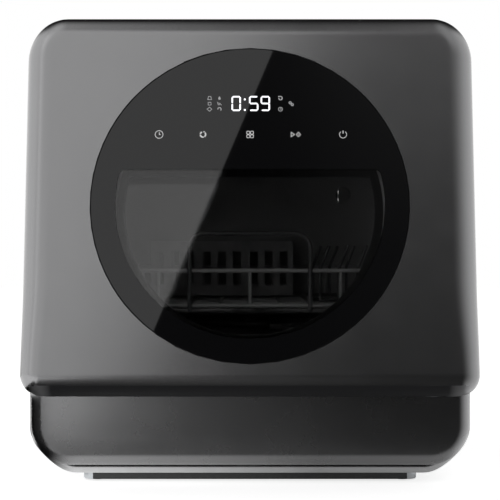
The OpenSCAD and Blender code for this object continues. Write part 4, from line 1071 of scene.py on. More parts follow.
def gasket_bulb():
    profile = [(0.0040, FRAME_W + 0.0001), (0.0120, FRAME_W + 0.0001)]
    profile += [(0.0080 + 0.0036 * math.cos(a), FRAME_W + 0.0004 + 0.0022 * math.sin(a))
                for a in (math.pi * k / 10 for k in range(11))]
    mouth = rounded_outline(-TUB_X, TUB_Z0, TUB_X, TUB_Z1, MOUTH_R, MOUTH_R, 12, 10)
    return lofted([[(x + nx * off, slope_y(z + nz * off, w), z + nz * off) for off, w in profile]
                   for x, z, nx, nz in mouth], around=True)


dress("front_frame")
gasket = new_piece("door_bulb_seal", gasket_bulb(), RUBBER)
hand_over(soften(gasket), "base", "door_gasket")
print("gasket round a mouth of mm:", round(2 * TUB_X / MM), round((TUB_Z1 - TUB_Z0) / MM))

# %% [markdown]
# ## The tub
# The real tub is deep-drawn from thin stainless sheet: every corner is round, and pressed beads stiffen the sides.
# A box with a bevel has no beads. Here the mouth's outline is swept to the back, each wall point can lean inwards
# over a bead, and the last rings roll round into the rear wall. The floor is a dark polypropylene moulding.

# %% The rings of the drawn tub
TUB_ROLL, TUB_WALL, TUB_R = 0.016, 0.0012, MOUTH_R + 0.012
TUB_BACK, TUB_FRONT_W = TUB_Y - TUB_ROLL, -DOOR_T - 2 * FRAME_GAP
BEADS = (0.272, 0.338)
BEAD_DEEP, BEAD_HALF, BEAD_FADE = 0.0014, 0.008, 0.03


def bead_depth(z, y):
    """How far a side wall stands inwards at a point, in two beads that fade out at both ends."""
    along = min(max((y + 0.115) / BEAD_FADE, 0), 1) * min(max((0.118 - y) / BEAD_FADE, 0), 1)
    across = sum(max(0.0, 1 - abs(z - b) / BEAD_HALF) for b in BEADS)
    return BEAD_DEEP * along * across * across * (3 - 2 * min(across, 1))


def tub_ring(inset, y_of, out):
    ring = []
    for x, z, nx, nz in rounded_outline(-TUB_X, TUB_Z0, TUB_X, TUB_Z1, TUB_R, TUB_R, 12, 40):
        y = y_of(z)
        lean_in = bead_depth(z, y) if abs(nx) > 0.99 else 0.0
        step = inset + lean_in - out
        ring.append((x - nx * step, y, z - nz * step))
    return ring


def tub_rings(thick):
    """One face of the sheet, from the mouth to the rear wall."""
    rings = [tub_ring(0, lambda z: slope_y(z, TUB_FRONT_W) * (1 - t) + TUB_BACK * t, thick)
             for t in (k / 44 for k in range(45))]
    for a in quarter_turn(8)[1:]:
        y = TUB_BACK + TUB_ROLL * math.sin(a) + thick * math.sin(a)
        rings.append(tub_ring(TUB_ROLL * (1 - math.cos(a)), lambda z: y, thick * math.cos(a)))
    return rings


print("beads at z:", BEADS, "depth in mm:", BEAD_DEEP / MM)


# %% The tub's sheet
def tub_shell():
    bm = bmesh.new()
    faces_of_sheet = []
    for thick in (0, TUB_WALL):
        rows = loft(bm, tub_rings(thick))
        bm.faces.new(rows[-1])
        faces_of_sheet.append(rows)
    inner, outer = faces_of_sheet
    n = len(inner[0])
    for k in range(n):
        bm.faces.new((inner[0][k], outer[0][k], outer[0][(k + 1) % n], inner[0][(k + 1) % n]))
    return outward(bm)


# %% The finished tub
SUMP = Vector((0.070, -0.060))
DUCT = Vector((0.112, 0.290))
SUMP_R, POST_R, DUCT_R = 0.040, 0.0081, 0.009
# Turns a prism that stands on x and y to lie along y, over x and z
ALONG_Y = Matrix(((1, 0, 0, 0), (0, 0, 1, 0), (0, -1, 0, 0), (0, 0, 0, 1)))


def round_cutter(x, y, r, low, high, matrix=None):
    return prism_cutter(circle_outline(x, y, r), low, high, matrix)


tub = new_piece("drawn_tub", tub_shell(), TUB_STEEL)
cut(tub, [round_cutter(*SUMP, SUMP_R, 0.135, 0.150), round_cutter(0, 0, POST_R, 0.135, 0.150),
          round_cutter(0, 0, POST_R, 0.395, 0.405), round_cutter(DUCT.x, -DUCT.y, DUCT_R, 0.155, 0.170, ALONG_Y)])
soften(tub)
paint(tub, DARK_PLASTIC, lambda face: face.center.z < TUB_Z0 + 0.008)
hand_over(tub, "base", "tub")
print("tub faces:", len(tub.data.polygons))

# %% [markdown]
# ## The door's inner sheet
# The inner sheet is stainless too. It has a pressed panel line near its edge, a raised ring round the window, and
# cut-outs for the soap cup, the latch and the hinges. Its rings run from the outer edge to the window's edge, and
# each ring may sit at its own depth, which presses the beads. The last few millimetres are the glazing seal.

# %% The pressed beads of the liner
LINER_T = 0.0012
FLAT_W, PRESSED_W = -DOOR_T, -DOOR_T + 0.0012
LINER_WIN_R, LINER_WIN_TOP, WIN_DROP = 0.118, 0.0322, 0.030
LATCH_ROOM = 0.022
EDGE_BEAD = ((0.020, 0), (0.0215, 0.3), (0.023, 1), (0.026, 1), (0.0275, 0.3), (0.029, 0))
WINDOW_BEAD = ((0.020, 0), (0.0185, 0.3), (0.017, 1), (0.010, 1), (0.0085, 0.3), (0.007, 0), (0.0012, 0))


def window_ring(outline, grow, w):
    """The window's edge, grown outwards, with one point for each of the outline's."""
    ring = []
    for x, y, _, _ in outline:
        a = math.atan2(y - DISC_V + WIN_DROP, x)
        cx, cy = math.cos(a), math.sin(a)
        r = LINER_WIN_R + grow
        reach = WIN_DROP * cy + math.sqrt(r * r - (WIN_DROP * cx) ** 2)
        if cy > 0:
            reach = min(reach, (LINER_WIN_TOP + grow + WIN_DROP) / cy)
        ring.append((reach * cx, DISC_V - WIN_DROP + reach * cy, w))
    return ring


def edge_ring(step, w, drop=0.0):
    """The sheet's outer edge, moved inwards by a step, with its top lower by a drop."""
    ring = rounded_outline(-HALF_W + step, LIP_V + step, HALF_W - step, TOP_V - step - drop,
                           max(0.012, DOOR_R_LOW - step), max(0.012, DOOR_R_HIGH - step), 18, 26)
    return [(x, y, w) for x, y, _, _ in ring]


def liner_side(back):
    """Rings of one face of the sheet. The other face lies further forward by its thickness."""
    def bead_w(depth):
        return FLAT_W + (PRESSED_W - FLAT_W) * depth + back

    outline = rounded_outline(-HALF_W, LIP_V, HALF_W, TOP_V, DOOR_R_LOW, DOOR_R_HIGH, 18, 26)
    rings = [edge_ring(DOOR_WALL, FLAT_W + 0.0006 + back), edge_ring(DOOR_WALL + 0.0004, FLAT_W + back)]
    rings += [edge_ring(step, bead_w(depth), LATCH_ROOM) for step, depth in EDGE_BEAD]
    rings += [window_ring(outline, grow, bead_w(depth)) for grow, depth in WINDOW_BEAD]
    return rings + [window_ring(outline, 0.0002, FLAT_W + 0.0003 + back)]


print("rings of one face:", len(liner_side(0.0)))

# %% The finished liner
CUP_X0, CUP_X1, CUP_V0, CUP_V1 = 0.035, 0.085, DISC_V + 0.052, DISC_V + 0.100
LATCH_HALF, LATCH_V0, LATCH_V1 = 0.009, 0.2959, 0.2959 + 0.030
OPEN_W0, OPEN_W1 = -DOOR_T - 0.002, -0.040
GLAZING_SEAL = 0.0030


def on_the_seal(face):
    x, v, _ = face.center
    return math.hypot(x, v - DISC_V) < LINER_WIN_R + GLAZING_SEAL and v - DISC_V < LINER_WIN_TOP + GLAZING_SEAL


liner = new_piece("pressed_liner", lofted(liner_side(0.0) + liner_side(LINER_T)[::-1], around=True), TUB_STEEL)
cut(liner, notch_cutters() + [box_cutter(CUP_X0, CUP_V0, OPEN_W0, CUP_X1, CUP_V1, OPEN_W1),
                              box_cutter(-LATCH_HALF, LATCH_V0, OPEN_W0, LATCH_HALF, LATCH_V1, OPEN_W1)])
soften(liner)
paint(liner, GREY_PLASTIC, on_the_seal)
hand_over(lean(liner), "door", "inner_liner")
print("liner faces:", len(liner.data.polygons))

# %% The inner pane and the rest of the door
PANE_RINGS = ((0.0076, -0.0414), (0.0080, -0.0410), (0.0080, -0.0378), (0.0076, -0.0374))
CLEAR_DARK, CLEAR, CLEAR_PALE = ((shade,) * 3 for shade in (0.905, 0.92, 0.935))
clear_glass = finish("clear_pane", CLEAR, 0.0, Transmission_Weight=1.0, IOR=1.38)
tint(clear_glass, grain_texture(clear_glass, 60), CLEAR_DARK, CLEAR_PALE)
around_pane = rounded_outline(-0.1, DISC_V - 0.1, 0.1, DISC_V + 0.1, 0.05, 0.05, 14, 14)
pane = new_piece("inner_pane", lofted([window_ring(around_pane, grow, w) for grow, w in PANE_RINGS]), clear_glass)
hand_over(lean(soften(pane)), "door", "inner_window")
dress("detergent_cup", "detergent_lid", "hinge_arms", "door_striker")

# %% [markdown]
# ## Wire work
# The rack is bent and welded steel wire, dipped in nylon. Tubes could be placed one by one, but a bend would then
# need its own torus. A wire is really a line with rounded turns, so it is drawn as one. A Geometry Nodes tree turns
# each chain of edges into a curve, rounds its corners, sweeps a circle along it, and sets a blob on its free ends.

# %% A Geometry Nodes tree in a few lines
KINDS = {"f": "NodeSocketFloat", "i": "NodeSocketInt", "m": "NodeSocketMaterial", "o": "NodeSocketObject",
         "v": "NodeSocketVector"}


class Tree:
    """A Geometry Nodes tree with one geometry in, one out, and named inputs for its sizes."""

    def __init__(self, name, **inputs):
        self.group = bpy.data.node_groups.new(name, "GeometryNodeTree")
        face = self.group.interface
        face.new_socket("Geometry", in_out="INPUT", socket_type="NodeSocketGeometry")
        for key, kind in inputs.items():
            face.new_socket(key.replace("_", " "), in_out="INPUT", socket_type=KINDS[kind])
        face.new_socket("Geometry", in_out="OUTPUT", socket_type="NodeSocketGeometry")
        self.size = self.group.nodes.new("NodeGroupInput").outputs
        self.end = self.group.nodes.new("NodeGroupOutput")

    def add(self, kind, inputs=(), settings=()):
        return add_node(self.group, kind, inputs, settings).outputs[0]

    def finish_with(self, geometry):
        """Makes instances real, sets the material and ends the tree."""
        real = self.add("GeometryNodeRealizeInstances", {"Geometry": geometry})
        painted = self.add("GeometryNodeSetMaterial", {"Geometry": real, "Material": self.size["Material"]})
        self.group.links.new(painted, self.end.inputs["Geometry"])
        return self


# %% Growing a piece from a guide
def grow(name, tree, mesh, material, **sizes):
    """Runs a tree on a small guide mesh and keeps the result as one plain mesh."""
    piece = bpy.data.objects.new(name, mesh)
    bpy.context.scene.collection.objects.link(piece)
    made = piece.modifiers.new(tree.group.name, "NODES")
    made.node_group = tree.group
    values = {key.replace("_", " "): value for key, value in sizes.items()}
    values["Material"] = material
    for item in tree.group.interface.items_tree:
        if item.in_out == "INPUT" and item.name in values:
            made[item.identifier] = values[item.name]
    apply_modifiers(piece)
    piece.data.name = name
    return piece


def guide(points, edges=()):
    mesh = bpy.data.meshes.new("guide")
    mesh.from_pydata(points, edges, [])
    return mesh


def chains(*paths):
    """A guide of separate chains of edges. A path that ends where it starts is a closed loop."""
    points, edges = [], []
    for path in paths:
        closed = path[0] == path[-1]
        first = len(points)
        points += path[:-1] if closed else path
        n = len(points) - first
        edges += [(first + k, first + k + 1) for k in range(n - 1)]
        if closed:
            edges.append((first + n - 1, first))
    return guide(points, edges)


# %% The bent wire tree
def bent_wire():
    t = Tree("bent_wire", Wire_Radius="f", Bend_Radius="f", End_Radius="f", Sides="i", Material="m")
    line = t.add("GeometryNodeMeshToCurve", {"Mesh": t.size["Geometry"]})
    bent = t.add("GeometryNodeFilletCurve", {
        "Curve": line, "Radius": t.size["Bend Radius"], "Count": 6, "Limit Radius": True},
        {"mode": "POLY"} if "mode" in bpy.types.GeometryNodeFilletCurve.bl_rna.properties else {})
    circle = t.add("GeometryNodeCurvePrimitiveCircle", {"Resolution": t.size["Sides"], "Radius": t.size["Wire Radius"]})
    tube = t.add("GeometryNodeCurveToMesh", {"Curve": bent, "Profile Curve": circle, "Fill Caps": True})
    blob = t.add("GeometryNodeMeshIcoSphere", {"Radius": t.size["End Radius"], "Subdivisions": 2})
    ends = t.add("GeometryNodeCurveEndpointSelection")
    blobs = t.add("GeometryNodeInstanceOnPoints", {"Points": bent, "Selection": ends, "Instance": blob})
    both = t.group.nodes.new("GeometryNodeJoinGeometry")
    for part in (blobs, tube):
        t.group.links.new(part, both.inputs["Geometry"])
    return t.finish_with(t.add("GeometryNodeSetShadeSmooth", {"Geometry": both.outputs["Geometry"]}))


BENT_WIRE = bent_wire()
print("nodes in the wire tree:", len(BENT_WIRE.group.nodes))


# %% The rack's basket of wire
def wires(name, paths, radius, bend, end, sides=10):
    """Bent wires along paths, each with a blob of the end radius on its free ends."""
    return smooth(grow(name, BENT_WIRE, chains(*paths), WIRE_COAT,
                       Wire_Radius=radius, Bend_Radius=bend, End_Radius=end, Sides=sides))


RACK_X, RACK_Y0, RACK_Y1 = 0.148, -0.138, 0.148
RACK_LOW, RACK_TOP = 0.1703, 0.204
WIRE, RAIL, RAIL_SIDES = 0.0016, 0.0020, 14
GLIDE_YS = (RACK_Y0 + 0.038, RACK_Y1 - 0.038)
RACK_MID = (RACK_Y0 + RACK_Y1) / 2
GRID_X, GRID_Y = (RACK_X - 0.028) / 4, (RACK_Y1 - RACK_Y0 - 0.090) / 4
FRONT_WIRES = (-RACK_X + 0.020, -RACK_X + 0.0605, 0, RACK_X - 0.0605, RACK_X - 0.020)
BACK_WIRES = (-RACK_X + 0.021, -RACK_X + 0.058, RACK_X - 0.058, RACK_X - 0.021)


def loop_at(z):
    corners = [(RACK_X, RACK_Y0, z), (RACK_X, RACK_Y1, z), (-RACK_X, RACK_Y1, z), (-RACK_X, RACK_Y0, z)]
    return corners + corners[:1]


def rack_wires():
    uprights = [(x, RACK_Y0) for x in FRONT_WIRES] + [(x, RACK_Y1) for x in BACK_WIRES]
    uprights += [(s * RACK_X, y) for s in (-1, 1) for y in (*GLIDE_YS, RACK_MID)]
    paths = [[(x, y, RACK_LOW), (x, y, RACK_TOP)] for x, y in uprights]
    paths += [[(k * GRID_X, RACK_Y0, RACK_LOW), (k * GRID_X, RACK_Y1, RACK_LOW)] for k in range(-4, 5)]
    for k in range(-2, 3):
        y = RACK_MID - 0.005 + k * GRID_Y
        paths.append([(-RACK_X, y, RACK_LOW - WIRE), (RACK_X, y, RACK_LOW - WIRE)])
    return paths


rails = wires("rails", [loop_at(RACK_LOW), loop_at(RACK_TOP)], RAIL, 0.012, 0.0, RAIL_SIDES)
bars = wires("bars", rack_wires(), WIRE, 0.004, WIRE)
rack = join("rack_wires", [rails, bars])
hand_over(rack, "rack", "rack_frame")
print("rack wires:", len(rack_wires()), "faces:", len(rack.data.polygons))

# %% The handle and the plate prongs
HANDLE_X, HANDLE_TOP = 0.058, 0.2396
HANDLE_Y, HANDLE_FOOT = RACK_Y0 - 2 * RAIL + 0.0002, RACK_LOW - 0.0038
PRONG_X0, PRONG_PITCH, PRONGS = RACK_X - 0.0765, 0.019, 4
PRONG_BASE, PRONG_KNEE = RACK_LOW + 2 * WIRE - 0.0002, RACK_LOW + 0.0347
PRONG_ROW = 0.075


def prong_paths():
    paths = []
    for y in (RACK_MID - PRONG_ROW, RACK_MID + PRONG_ROW):
        paths.append([(PRONG_X0 - 0.006, y, PRONG_BASE),
                      (PRONG_X0 + (PRONGS - 1) * PRONG_PITCH + 0.006, y, PRONG_BASE)])
        for k in range(PRONGS):
            x = PRONG_X0 + k * PRONG_PITCH
            paths.append([(x, y, PRONG_BASE), (x, y, PRONG_KNEE), (x + 0.0085, y, PRONG_KNEE + 0.022)])
    return paths


handle = wires("rack_handle_wire", [
    [(x, HANDLE_Y, z) for x, z in ((-HANDLE_X, HANDLE_FOOT), (-HANDLE_X, HANDLE_TOP),
                                   (HANDLE_X, HANDLE_TOP), (HANDLE_X, HANDLE_FOOT))]], RAIL, 0.014, RAIL, RAIL_SIDES)
hand_over(handle, "rack", "rack_handle")
prongs = wires("plate_prong_wires", prong_paths(), WIRE, 0.006, WIRE * 1.12)
hand_over(prongs, "rack", "plate_prongs")
dress("rack_glides", "cutlery_basket")
print("prongs:", 2 * PRONGS)

# %% [markdown]
# ## Round parts and repeated parts
# Screws, nozzles, threads and filter holes repeat, or are round. A round part is a profile turned about an axis. A
# repeated one is made once, and a Geometry Nodes tree stamps it on every point of a guide mesh, or round a circle.

# %% The stamping trees
def stamp_shape(t):
    return t.add("GeometryNodeObjectInfo", {"Object": t.size["Stamp"]}).node.outputs["Geometry"]


def stamp_tree():
    t = Tree("stamp_on_points", Stamp="o", Turn="v", Material="m")
    return t.finish_with(t.add("GeometryNodeInstanceOnPoints", {
        "Points": t.size["Geometry"], "Instance": stamp_shape(t), "Rotation": t.size["Turn"]}))


def ring_tree():
    """Copies of a stamp, each turned one step further about +Z, with touching edges welded."""
    t = Tree("ring_of_stamps", Stamp="o", Count="i", Material="m")
    points = t.add("GeometryNodePoints", {"Count": t.size["Count"]})
    step = t.add("ShaderNodeMath", {0: 2 * math.pi, 1: t.size["Count"]}, {"operation": "DIVIDE"})
    angle = t.add("ShaderNodeMath", {0: t.add("GeometryNodeInputIndex"), 1: step}, {"operation": "MULTIPLY"})
    turn = t.add("ShaderNodeCombineXYZ", {"Z": angle})
    ring = t.add("GeometryNodeInstanceOnPoints", {"Points": points, "Instance": stamp_shape(t), "Rotation": turn})
    real = t.add("GeometryNodeRealizeInstances", {"Geometry": ring})
    return t.finish_with(t.add("GeometryNodeMergeByDistance", {"Geometry": real, "Distance": 1e-5}))


STAMP, RING = stamp_tree(), ring_tree()


def stamped(name, tree, stamp, points, material, **sizes):
    """Runs a stamping tree on the points, and removes the stamp."""
    piece = grow(name, tree, guide(points), material, Stamp=stamp, **sizes)
    bpy.data.objects.remove(stamp)
    return piece


print("trees:", [tree.group.name for tree in (BENT_WIRE, STAMP, RING)])


# %% Cross-head screws
def cross_screw(r, h, shank_r, shank):
    """A pan-head screw on +Z, with a cross sunk into its head."""
    head = [(r, 0), (r, h * 0.3), (r * 0.96, h * 0.58), (r * 0.84, h * 0.82), (r * 0.62, h * 0.95), (r * 0.3, h)]
    piece = new_piece("screw_stamp", turned([(shank_r, -shank), (shank_r, 0)] + head, 28), ZINC)
    bar, arm = r * 0.13, r * 0.62
    cut(piece, [box_cutter(-x, -y, h * 0.35, x, y, h * 1.2) for x, y in ((arm, bar), (bar, arm))])
    return soften(piece)


PANEL_Y = 0.212
LINER_SCREWS_AT = [(s * 0.196, v, -DOOR_T) for s in (-1, 1) for v in (0.030, 0.110, 0.190, 0.270)]
REAR_SCREWS_AT = [(s * (HALF_W - 0.016), PANEL_Y, k * SHELL_TOP) for s in (-1, 1) for k in (0.27, 0.48, 0.70, 0.92)]
liner_screws = stamped("liner_screw_heads", STAMP, cross_screw(0.003, 0.0012, 0.0012, 0.001), LINER_SCREWS_AT, ZINC,
                       Turn=(math.pi, 0, 0))
hand_over(lean(soften(liner_screws)), "door", "liner_screws")
rear_screws = stamped("rear_screw_heads", STAMP, cross_screw(0.0032, 0.0018, 0.0016, 0.008), REAR_SCREWS_AT, ZINC,
                      Turn=(-math.pi / 2, 0, 0))
hand_over(soften(rear_screws), "base", "rear_screws")
print("screws:", len(LINER_SCREWS_AT) + len(REAR_SCREWS_AT))

# %% [markdown]
# The spray arms are hollow blades that swell round their pivot. Their outline follows a rule: a straight blade with
# round ends, and the hub's circle melted into it. Each nozzle is a small round hole drilled into the blade.

# %% The outline of a spray arm
MELT = 0.004


def arm_outline(reach, half, hub, steps=64):
    """The blade's outline as points and normals, anticlockwise from its right tip."""
    upper = []
    for k in range(steps + 1):
        x = reach * math.cos(math.pi * k / steps)
        over = max(0.0, abs(x) - (reach - half))
        blade = math.sqrt(max(0.0, half * half - over * over))
        swell = math.sqrt(max(0.0, hub * hub - x * x))
        y = blade if swell < blade - MELT else (blade + swell + math.sqrt((blade - swell) ** 2 + MELT * MELT)) / 2
        upper.append((x, y if 0 < k < steps else 0.0))
    loop = upper + [(x, -y) for x, y in upper[-2:0:-1]]
    outline = []
    for k, (x, y) in enumerate(loop):
        before, after = loop[k - 1], loop[(k + 1) % len(loop)]
        d = Vector((after[0] - before[0], after[1] - before[1])).normalized()
        outline.append((x, y, d.y, -d.x))
    return outline


# %% The spray arms
ARM_THICK, ARM_EDGE, NOZZLE_R, NOZZLE_DEEP, ARM_CLEAR = 0.008, 0.0028, 0.0014, 0.002, 0.00005


def spray_arm(node, name, reach, half, hub, z0, shares, drift, material, nozzles_up):
    """A blade with nozzles on one face, each at a share of its reach and a little off its middle line."""
    z1 = z0 + ARM_THICK
    blade = new_piece(name, rim_solid(arm_outline(reach, half, hub), z0, z1, ARM_EDGE, ARM_EDGE, 5), material)
    nozzles = [(s * k * (reach - 0.006), s * drift * (k - 0.5)) for s in (-1, 1) for k in shares]
    face = z1 if nozzles_up else z0
    cut(blade, [round_cutter(0, 0, POST_R + ARM_CLEAR, z0 - 0.001, z1 + 0.001)]
        + [round_cutter(x, y, NOZZLE_R, face - NOZZLE_DEEP, face + NOZZLE_DEEP) for x, y in nozzles])
    hand_over(soften(blade), BODY_OF[node], node)
    print(node, "in mm:", round(2 * reach / MM), "nozzles:", len(nozzles))


spray_arm("lower_spray_arm", "lower_arm_blade", 0.130, 0.013, 0.0195, TUB_Z0 + 0.010, (0.35, 0.55, 0.75, 0.9), 0.006,
          TUB_STEEL, True)
spray_arm("upper_spray_arm", "upper_arm_blade", 0.105, 0.011, 0.0165, 0.373 + 0.003, (0.4, 0.65, 0.9), 0.005,
          GREY_PLASTIC, False)

# %% [markdown]
# The flat filter is a perforated disc. Cutting hundreds of holes with booleans is slow. One narrow sector of the
# disc is drawn with its round holes already in it, and the ring tree turns copies of it all the way round.

# %% One sector of the flat filter
FILTER_R, CUP_R, HOLE_R = 0.058, 0.036 + 0.00005, 0.0010
FILTER_Z0, FILTER_Z1 = TUB_Z0, TUB_Z0 + 0.0012
SECTORS, HOLE_ROWS = 90, 5
HALF_SECTOR = math.pi / SECTORS
INNER_RIM, OUTER_RIM = 0.0015, 0.0025


def across_sector(r):
    """Three points across the sector, as radius and angle."""
    return [(r, -HALF_SECTOR), (r, 0), (r, HALF_SECTOR)]


def hole_in(cell, mid):
    """A point of the hole's edge for each point of its cell."""
    hole = []
    for r, t in cell:
        p = Vector((r * math.cos(t) - mid, r * math.sin(t)))
        p = p.normalized() * HOLE_R + Vector((mid, 0))
        hole.append((p.length, math.atan2(p.y, p.x)))
    return hole


def filter_sector():
    """One sector with a hole in each row, drawn as rings from each cell's edge to its hole."""
    bm = bmesh.new()

    def at(loop, z):
        return [bm.verts.new((r * math.cos(a), r * math.sin(a), z)) for r, a in loop]

    def plate(outer, inner):
        """Joins two loops on both faces of the sheet."""
        band(bm, at(outer, FILTER_Z1), at(inner, FILTER_Z1))
        low_outer, low_inner = at(outer, FILTER_Z0), at(inner, FILTER_Z0)
        band(bm, low_inner, low_outer)

    edges = [CUP_R + INNER_RIM + (FILTER_R - OUTER_RIM - CUP_R - INNER_RIM) * k / HOLE_ROWS
             for k in range(HOLE_ROWS + 1)]
    for r0, r1 in zip(edges, edges[1:]):
        mid = (r0 + r1) / 2
        cell = across_sector(r0) + [(mid, HALF_SECTOR)] + across_sector(r1)[::-1] + [(mid, -HALF_SECTOR)]
        hole = hole_in(cell, mid)
        plate(cell, hole)
        band(bm, at(hole, FILTER_Z1), at(hole, FILTER_Z0))
    for r0, r1 in ((CUP_R, edges[0]), (edges[-1], FILTER_R)):
        middle = across_sector((r0 + r1) / 2)
        plate(across_sector(r0) + across_sector(r1)[::-1], middle + middle[::-1])
    for r in (CUP_R, FILTER_R):
        low, high = at(across_sector(r), FILTER_Z0), at(across_sector(r), FILTER_Z1)
        for k in (0, 1):
            bm.faces.new((low[k], low[k + 1], high[k + 1], high[k]))
    bmesh.ops.remove_doubles(bm, verts=bm.verts, dist=1e-6)
    return bm


# %% The flat filter and the works under the rack
def turn_outward(piece):
    """Turns the faces of a finished piece outwards."""
    bm = bmesh.new()
    bm.from_mesh(piece.data)
    outward(bm).to_mesh(piece.data)
    bm.free()
    return piece


flat_filter = stamped("filter_disc", RING, new_piece("filter_sector", filter_sector(), TUB_STEEL), [(0, 0, 0)],
                      TUB_STEEL, Count=SECTORS)
flat_filter.data.transform(Matrix.Translation((SUMP.x, SUMP.y, 0)))
hand_over(soften(turn_outward(flat_filter)), BODY_OF["flat_filter"], "flat_filter")
print("filter holes:", SECTORS * HOLE_ROWS)
dress("filter_cup", "sump", "heater", "spray_feed_pipe", "rack_rails")

# %% [markdown]
# ## The back, the filler, the latch and the hinges
# The back carries the water inlet with its pipe thread, the drain spigot with its barbs, the cable gland and the
# fan's grille. The thread is one line wound into a spiral by Geometry Nodes, with a small ridge swept along it.

# %% The inlet's thread
FITTINGS_X, FITTINGS_Y, FITTINGS_Z, FITTING_APART = HALF_W - 0.065, 0.182, 0.060, 0.027
INLET_X, SPIGOT_X = FITTINGS_X - FITTING_APART, FITTINGS_X + FITTING_APART
INLET_R = 0.0132


def thread_tree():
    t = Tree("wound_ridge", Turns="f", Radius="f", Height="f", Ridge="f", Material="m")
    coil = t.add("GeometryNodeCurveSpiral", {
        "Rotations": t.size["Turns"], "Start Radius": t.size["Radius"], "End Radius": t.size["Radius"],
        "Height": t.size["Height"], "Resolution": 40})
    ridge = t.add("GeometryNodeCurvePrimitiveCircle", {"Radius": t.size["Ridge"], "Resolution": 4})
    return t.finish_with(t.add("GeometryNodeCurveToMesh", {"Curve": coil, "Profile Curve": ridge, "Fill Caps": True}))


thread = grow("thread", thread_tree(), guide([(0, 0, 0)]), PALE_PLASTIC, Turns=10.0, Radius=INLET_R - 0.0010,
              Height=0.0185, Ridge=0.00095)
thread.data.transform(Matrix.Translation((0, 0, 0.0040)))
print("thread faces:", len(thread.data.polygons))


# %% The water inlet
def onto_the_back(piece, x):
    """Lays a fitting drawn on +Z along +Y, with its foot on the back at x."""
    piece.data.transform(Matrix.Translation((x, FITTINGS_Y + 0.002, FITTINGS_Z))
                         @ Matrix.Rotation(-math.pi / 2, 4, "X"))
    return piece


stem = new_piece("inlet_stem", turned([
    (0.0112, -0.006), (0.0112, 0.0), (INLET_R, 0.0), (INLET_R, 0.003), (INLET_R - 0.0011, 0.0034),
    (INLET_R - 0.0011, 0.0240), (INLET_R - 0.0018, 0.0250), (0.0086, 0.0250), (0.0080, 0.0244), (0.0080, 0.004)],
    64), PALE_PLASTIC)
block = new_piece("inlet_block", box_cutter(INLET_X - 0.015, FITTINGS_Y - 0.036, FITTINGS_Z - 0.014,
                                            INLET_X + 0.015, FITTINGS_Y, FITTINGS_Z + 0.026), PALE_PLASTIC)
soften(block, 0.0008)
inlet = join("water_inlet", [onto_the_back(soften(join("stem", [stem, thread])), INLET_X), block])
hand_over(soften(inlet), "base", "inlet_valve")
print("inlet faces:", len(inlet.data.polygons))

# %% The drain spigot, its barbs and the rest of the back
BARBS, BARB_PITCH = 3, 0.0062
barbs = [(0.0080, -0.002), (0.0080, 0.0), (0.0125, 0.0), (0.0125, 0.0026), (0.0121, 0.003), (0.0091, 0.003)]
for k in range(BARBS):
    barbs += [(r, h + BARB_PITCH * k) for r, h in ((0.0090, 0.0062), (0.0100, 0.0064), (0.0092, 0.0120))]
barbs += [(0.0088, 0.0250), (0.0064, 0.0250), (0.0060, 0.0246), (0.0060, -0.002)]
spigot = new_piece("barbed_spigot", turned(barbs), GREY_PLASTIC)
hand_over(soften(onto_the_back(spigot, SPIGOT_X)), "base", "drain_spigot")
dress("cable_gland", "rear_panel", "fan_housing", "fan_wheel", "vent_grille", "fill_pipe", "fill_lid",
      "latch_housing", "latch_hook", "hinge_brackets", "hinge_pins")

# %% Nothing is left bare
print("nodes without a piece:", [node for node in nodes if node not in standing and node not in HIDDEN])

# %% [markdown]
# ## Floor, light and camera
# The floor is a plain white sheet that keeps the machine's shadow. One large softbox stands at the left, in front
# and above. Its straight edge is set where the door's glass mirrors it as the diagonal line across the window. The
# world is white for the eye and at the sides, where rims and steel mirror it, and dim in front and overhead.

# %% The camera
FOCAL, SENSOR, PIXELS = 0.090, 0.036, 500
CAMERA_AT = Vector((0, -1.3425, 0.2242))
lens = bpy.data.cameras.new("camera")
lens.lens, lens.sensor_width = FOCAL / MM, SENSOR / MM
camera = bpy.data.objects.new("camera", lens)
camera.location = CAMERA_AT
camera.rotation_euler = (math.pi / 2, 0, 0)
scene = bpy.context.scene
scene.collection.objects.link(camera)
scene.camera = camera
scene.view_settings.view_transform = "Standard"
print("camera at", tuple(round(c, 4) for c in CAMERA_AT))

# %% What the camera sees in the glass
GLASS_N = Vector((0, -math.cos(LEAN), math.sin(LEAN)))


def on_glass(px, py):
    """The point of the glass's plane that stands at a point of the picture."""
    scale = SENSOR / FOCAL / PIXELS
    ray = Vector(((px - PIXELS / 2) * scale, 1, (PIXELS / 2 - py) * scale)).normalized()
    return CAMERA_AT + ray * ((DISC_CENTRE - CAMERA_AT).dot(GLASS_N) / ray.dot(GLASS_N))


print("middle of the picture on the glass:", tuple(round(c, 3) for c in on_glass(PIXELS / 2, PIXELS / 2)))

# %% The softbox
BOX_W, BOX_ABOVE, BOX_BELOW, BOX_FAR = 2.2, 0.70, 2.2, 2.7
EDGE_TOP, EDGE_LOW = (273, 50.5), (153.8, 330)
RADIANCE = 1.1


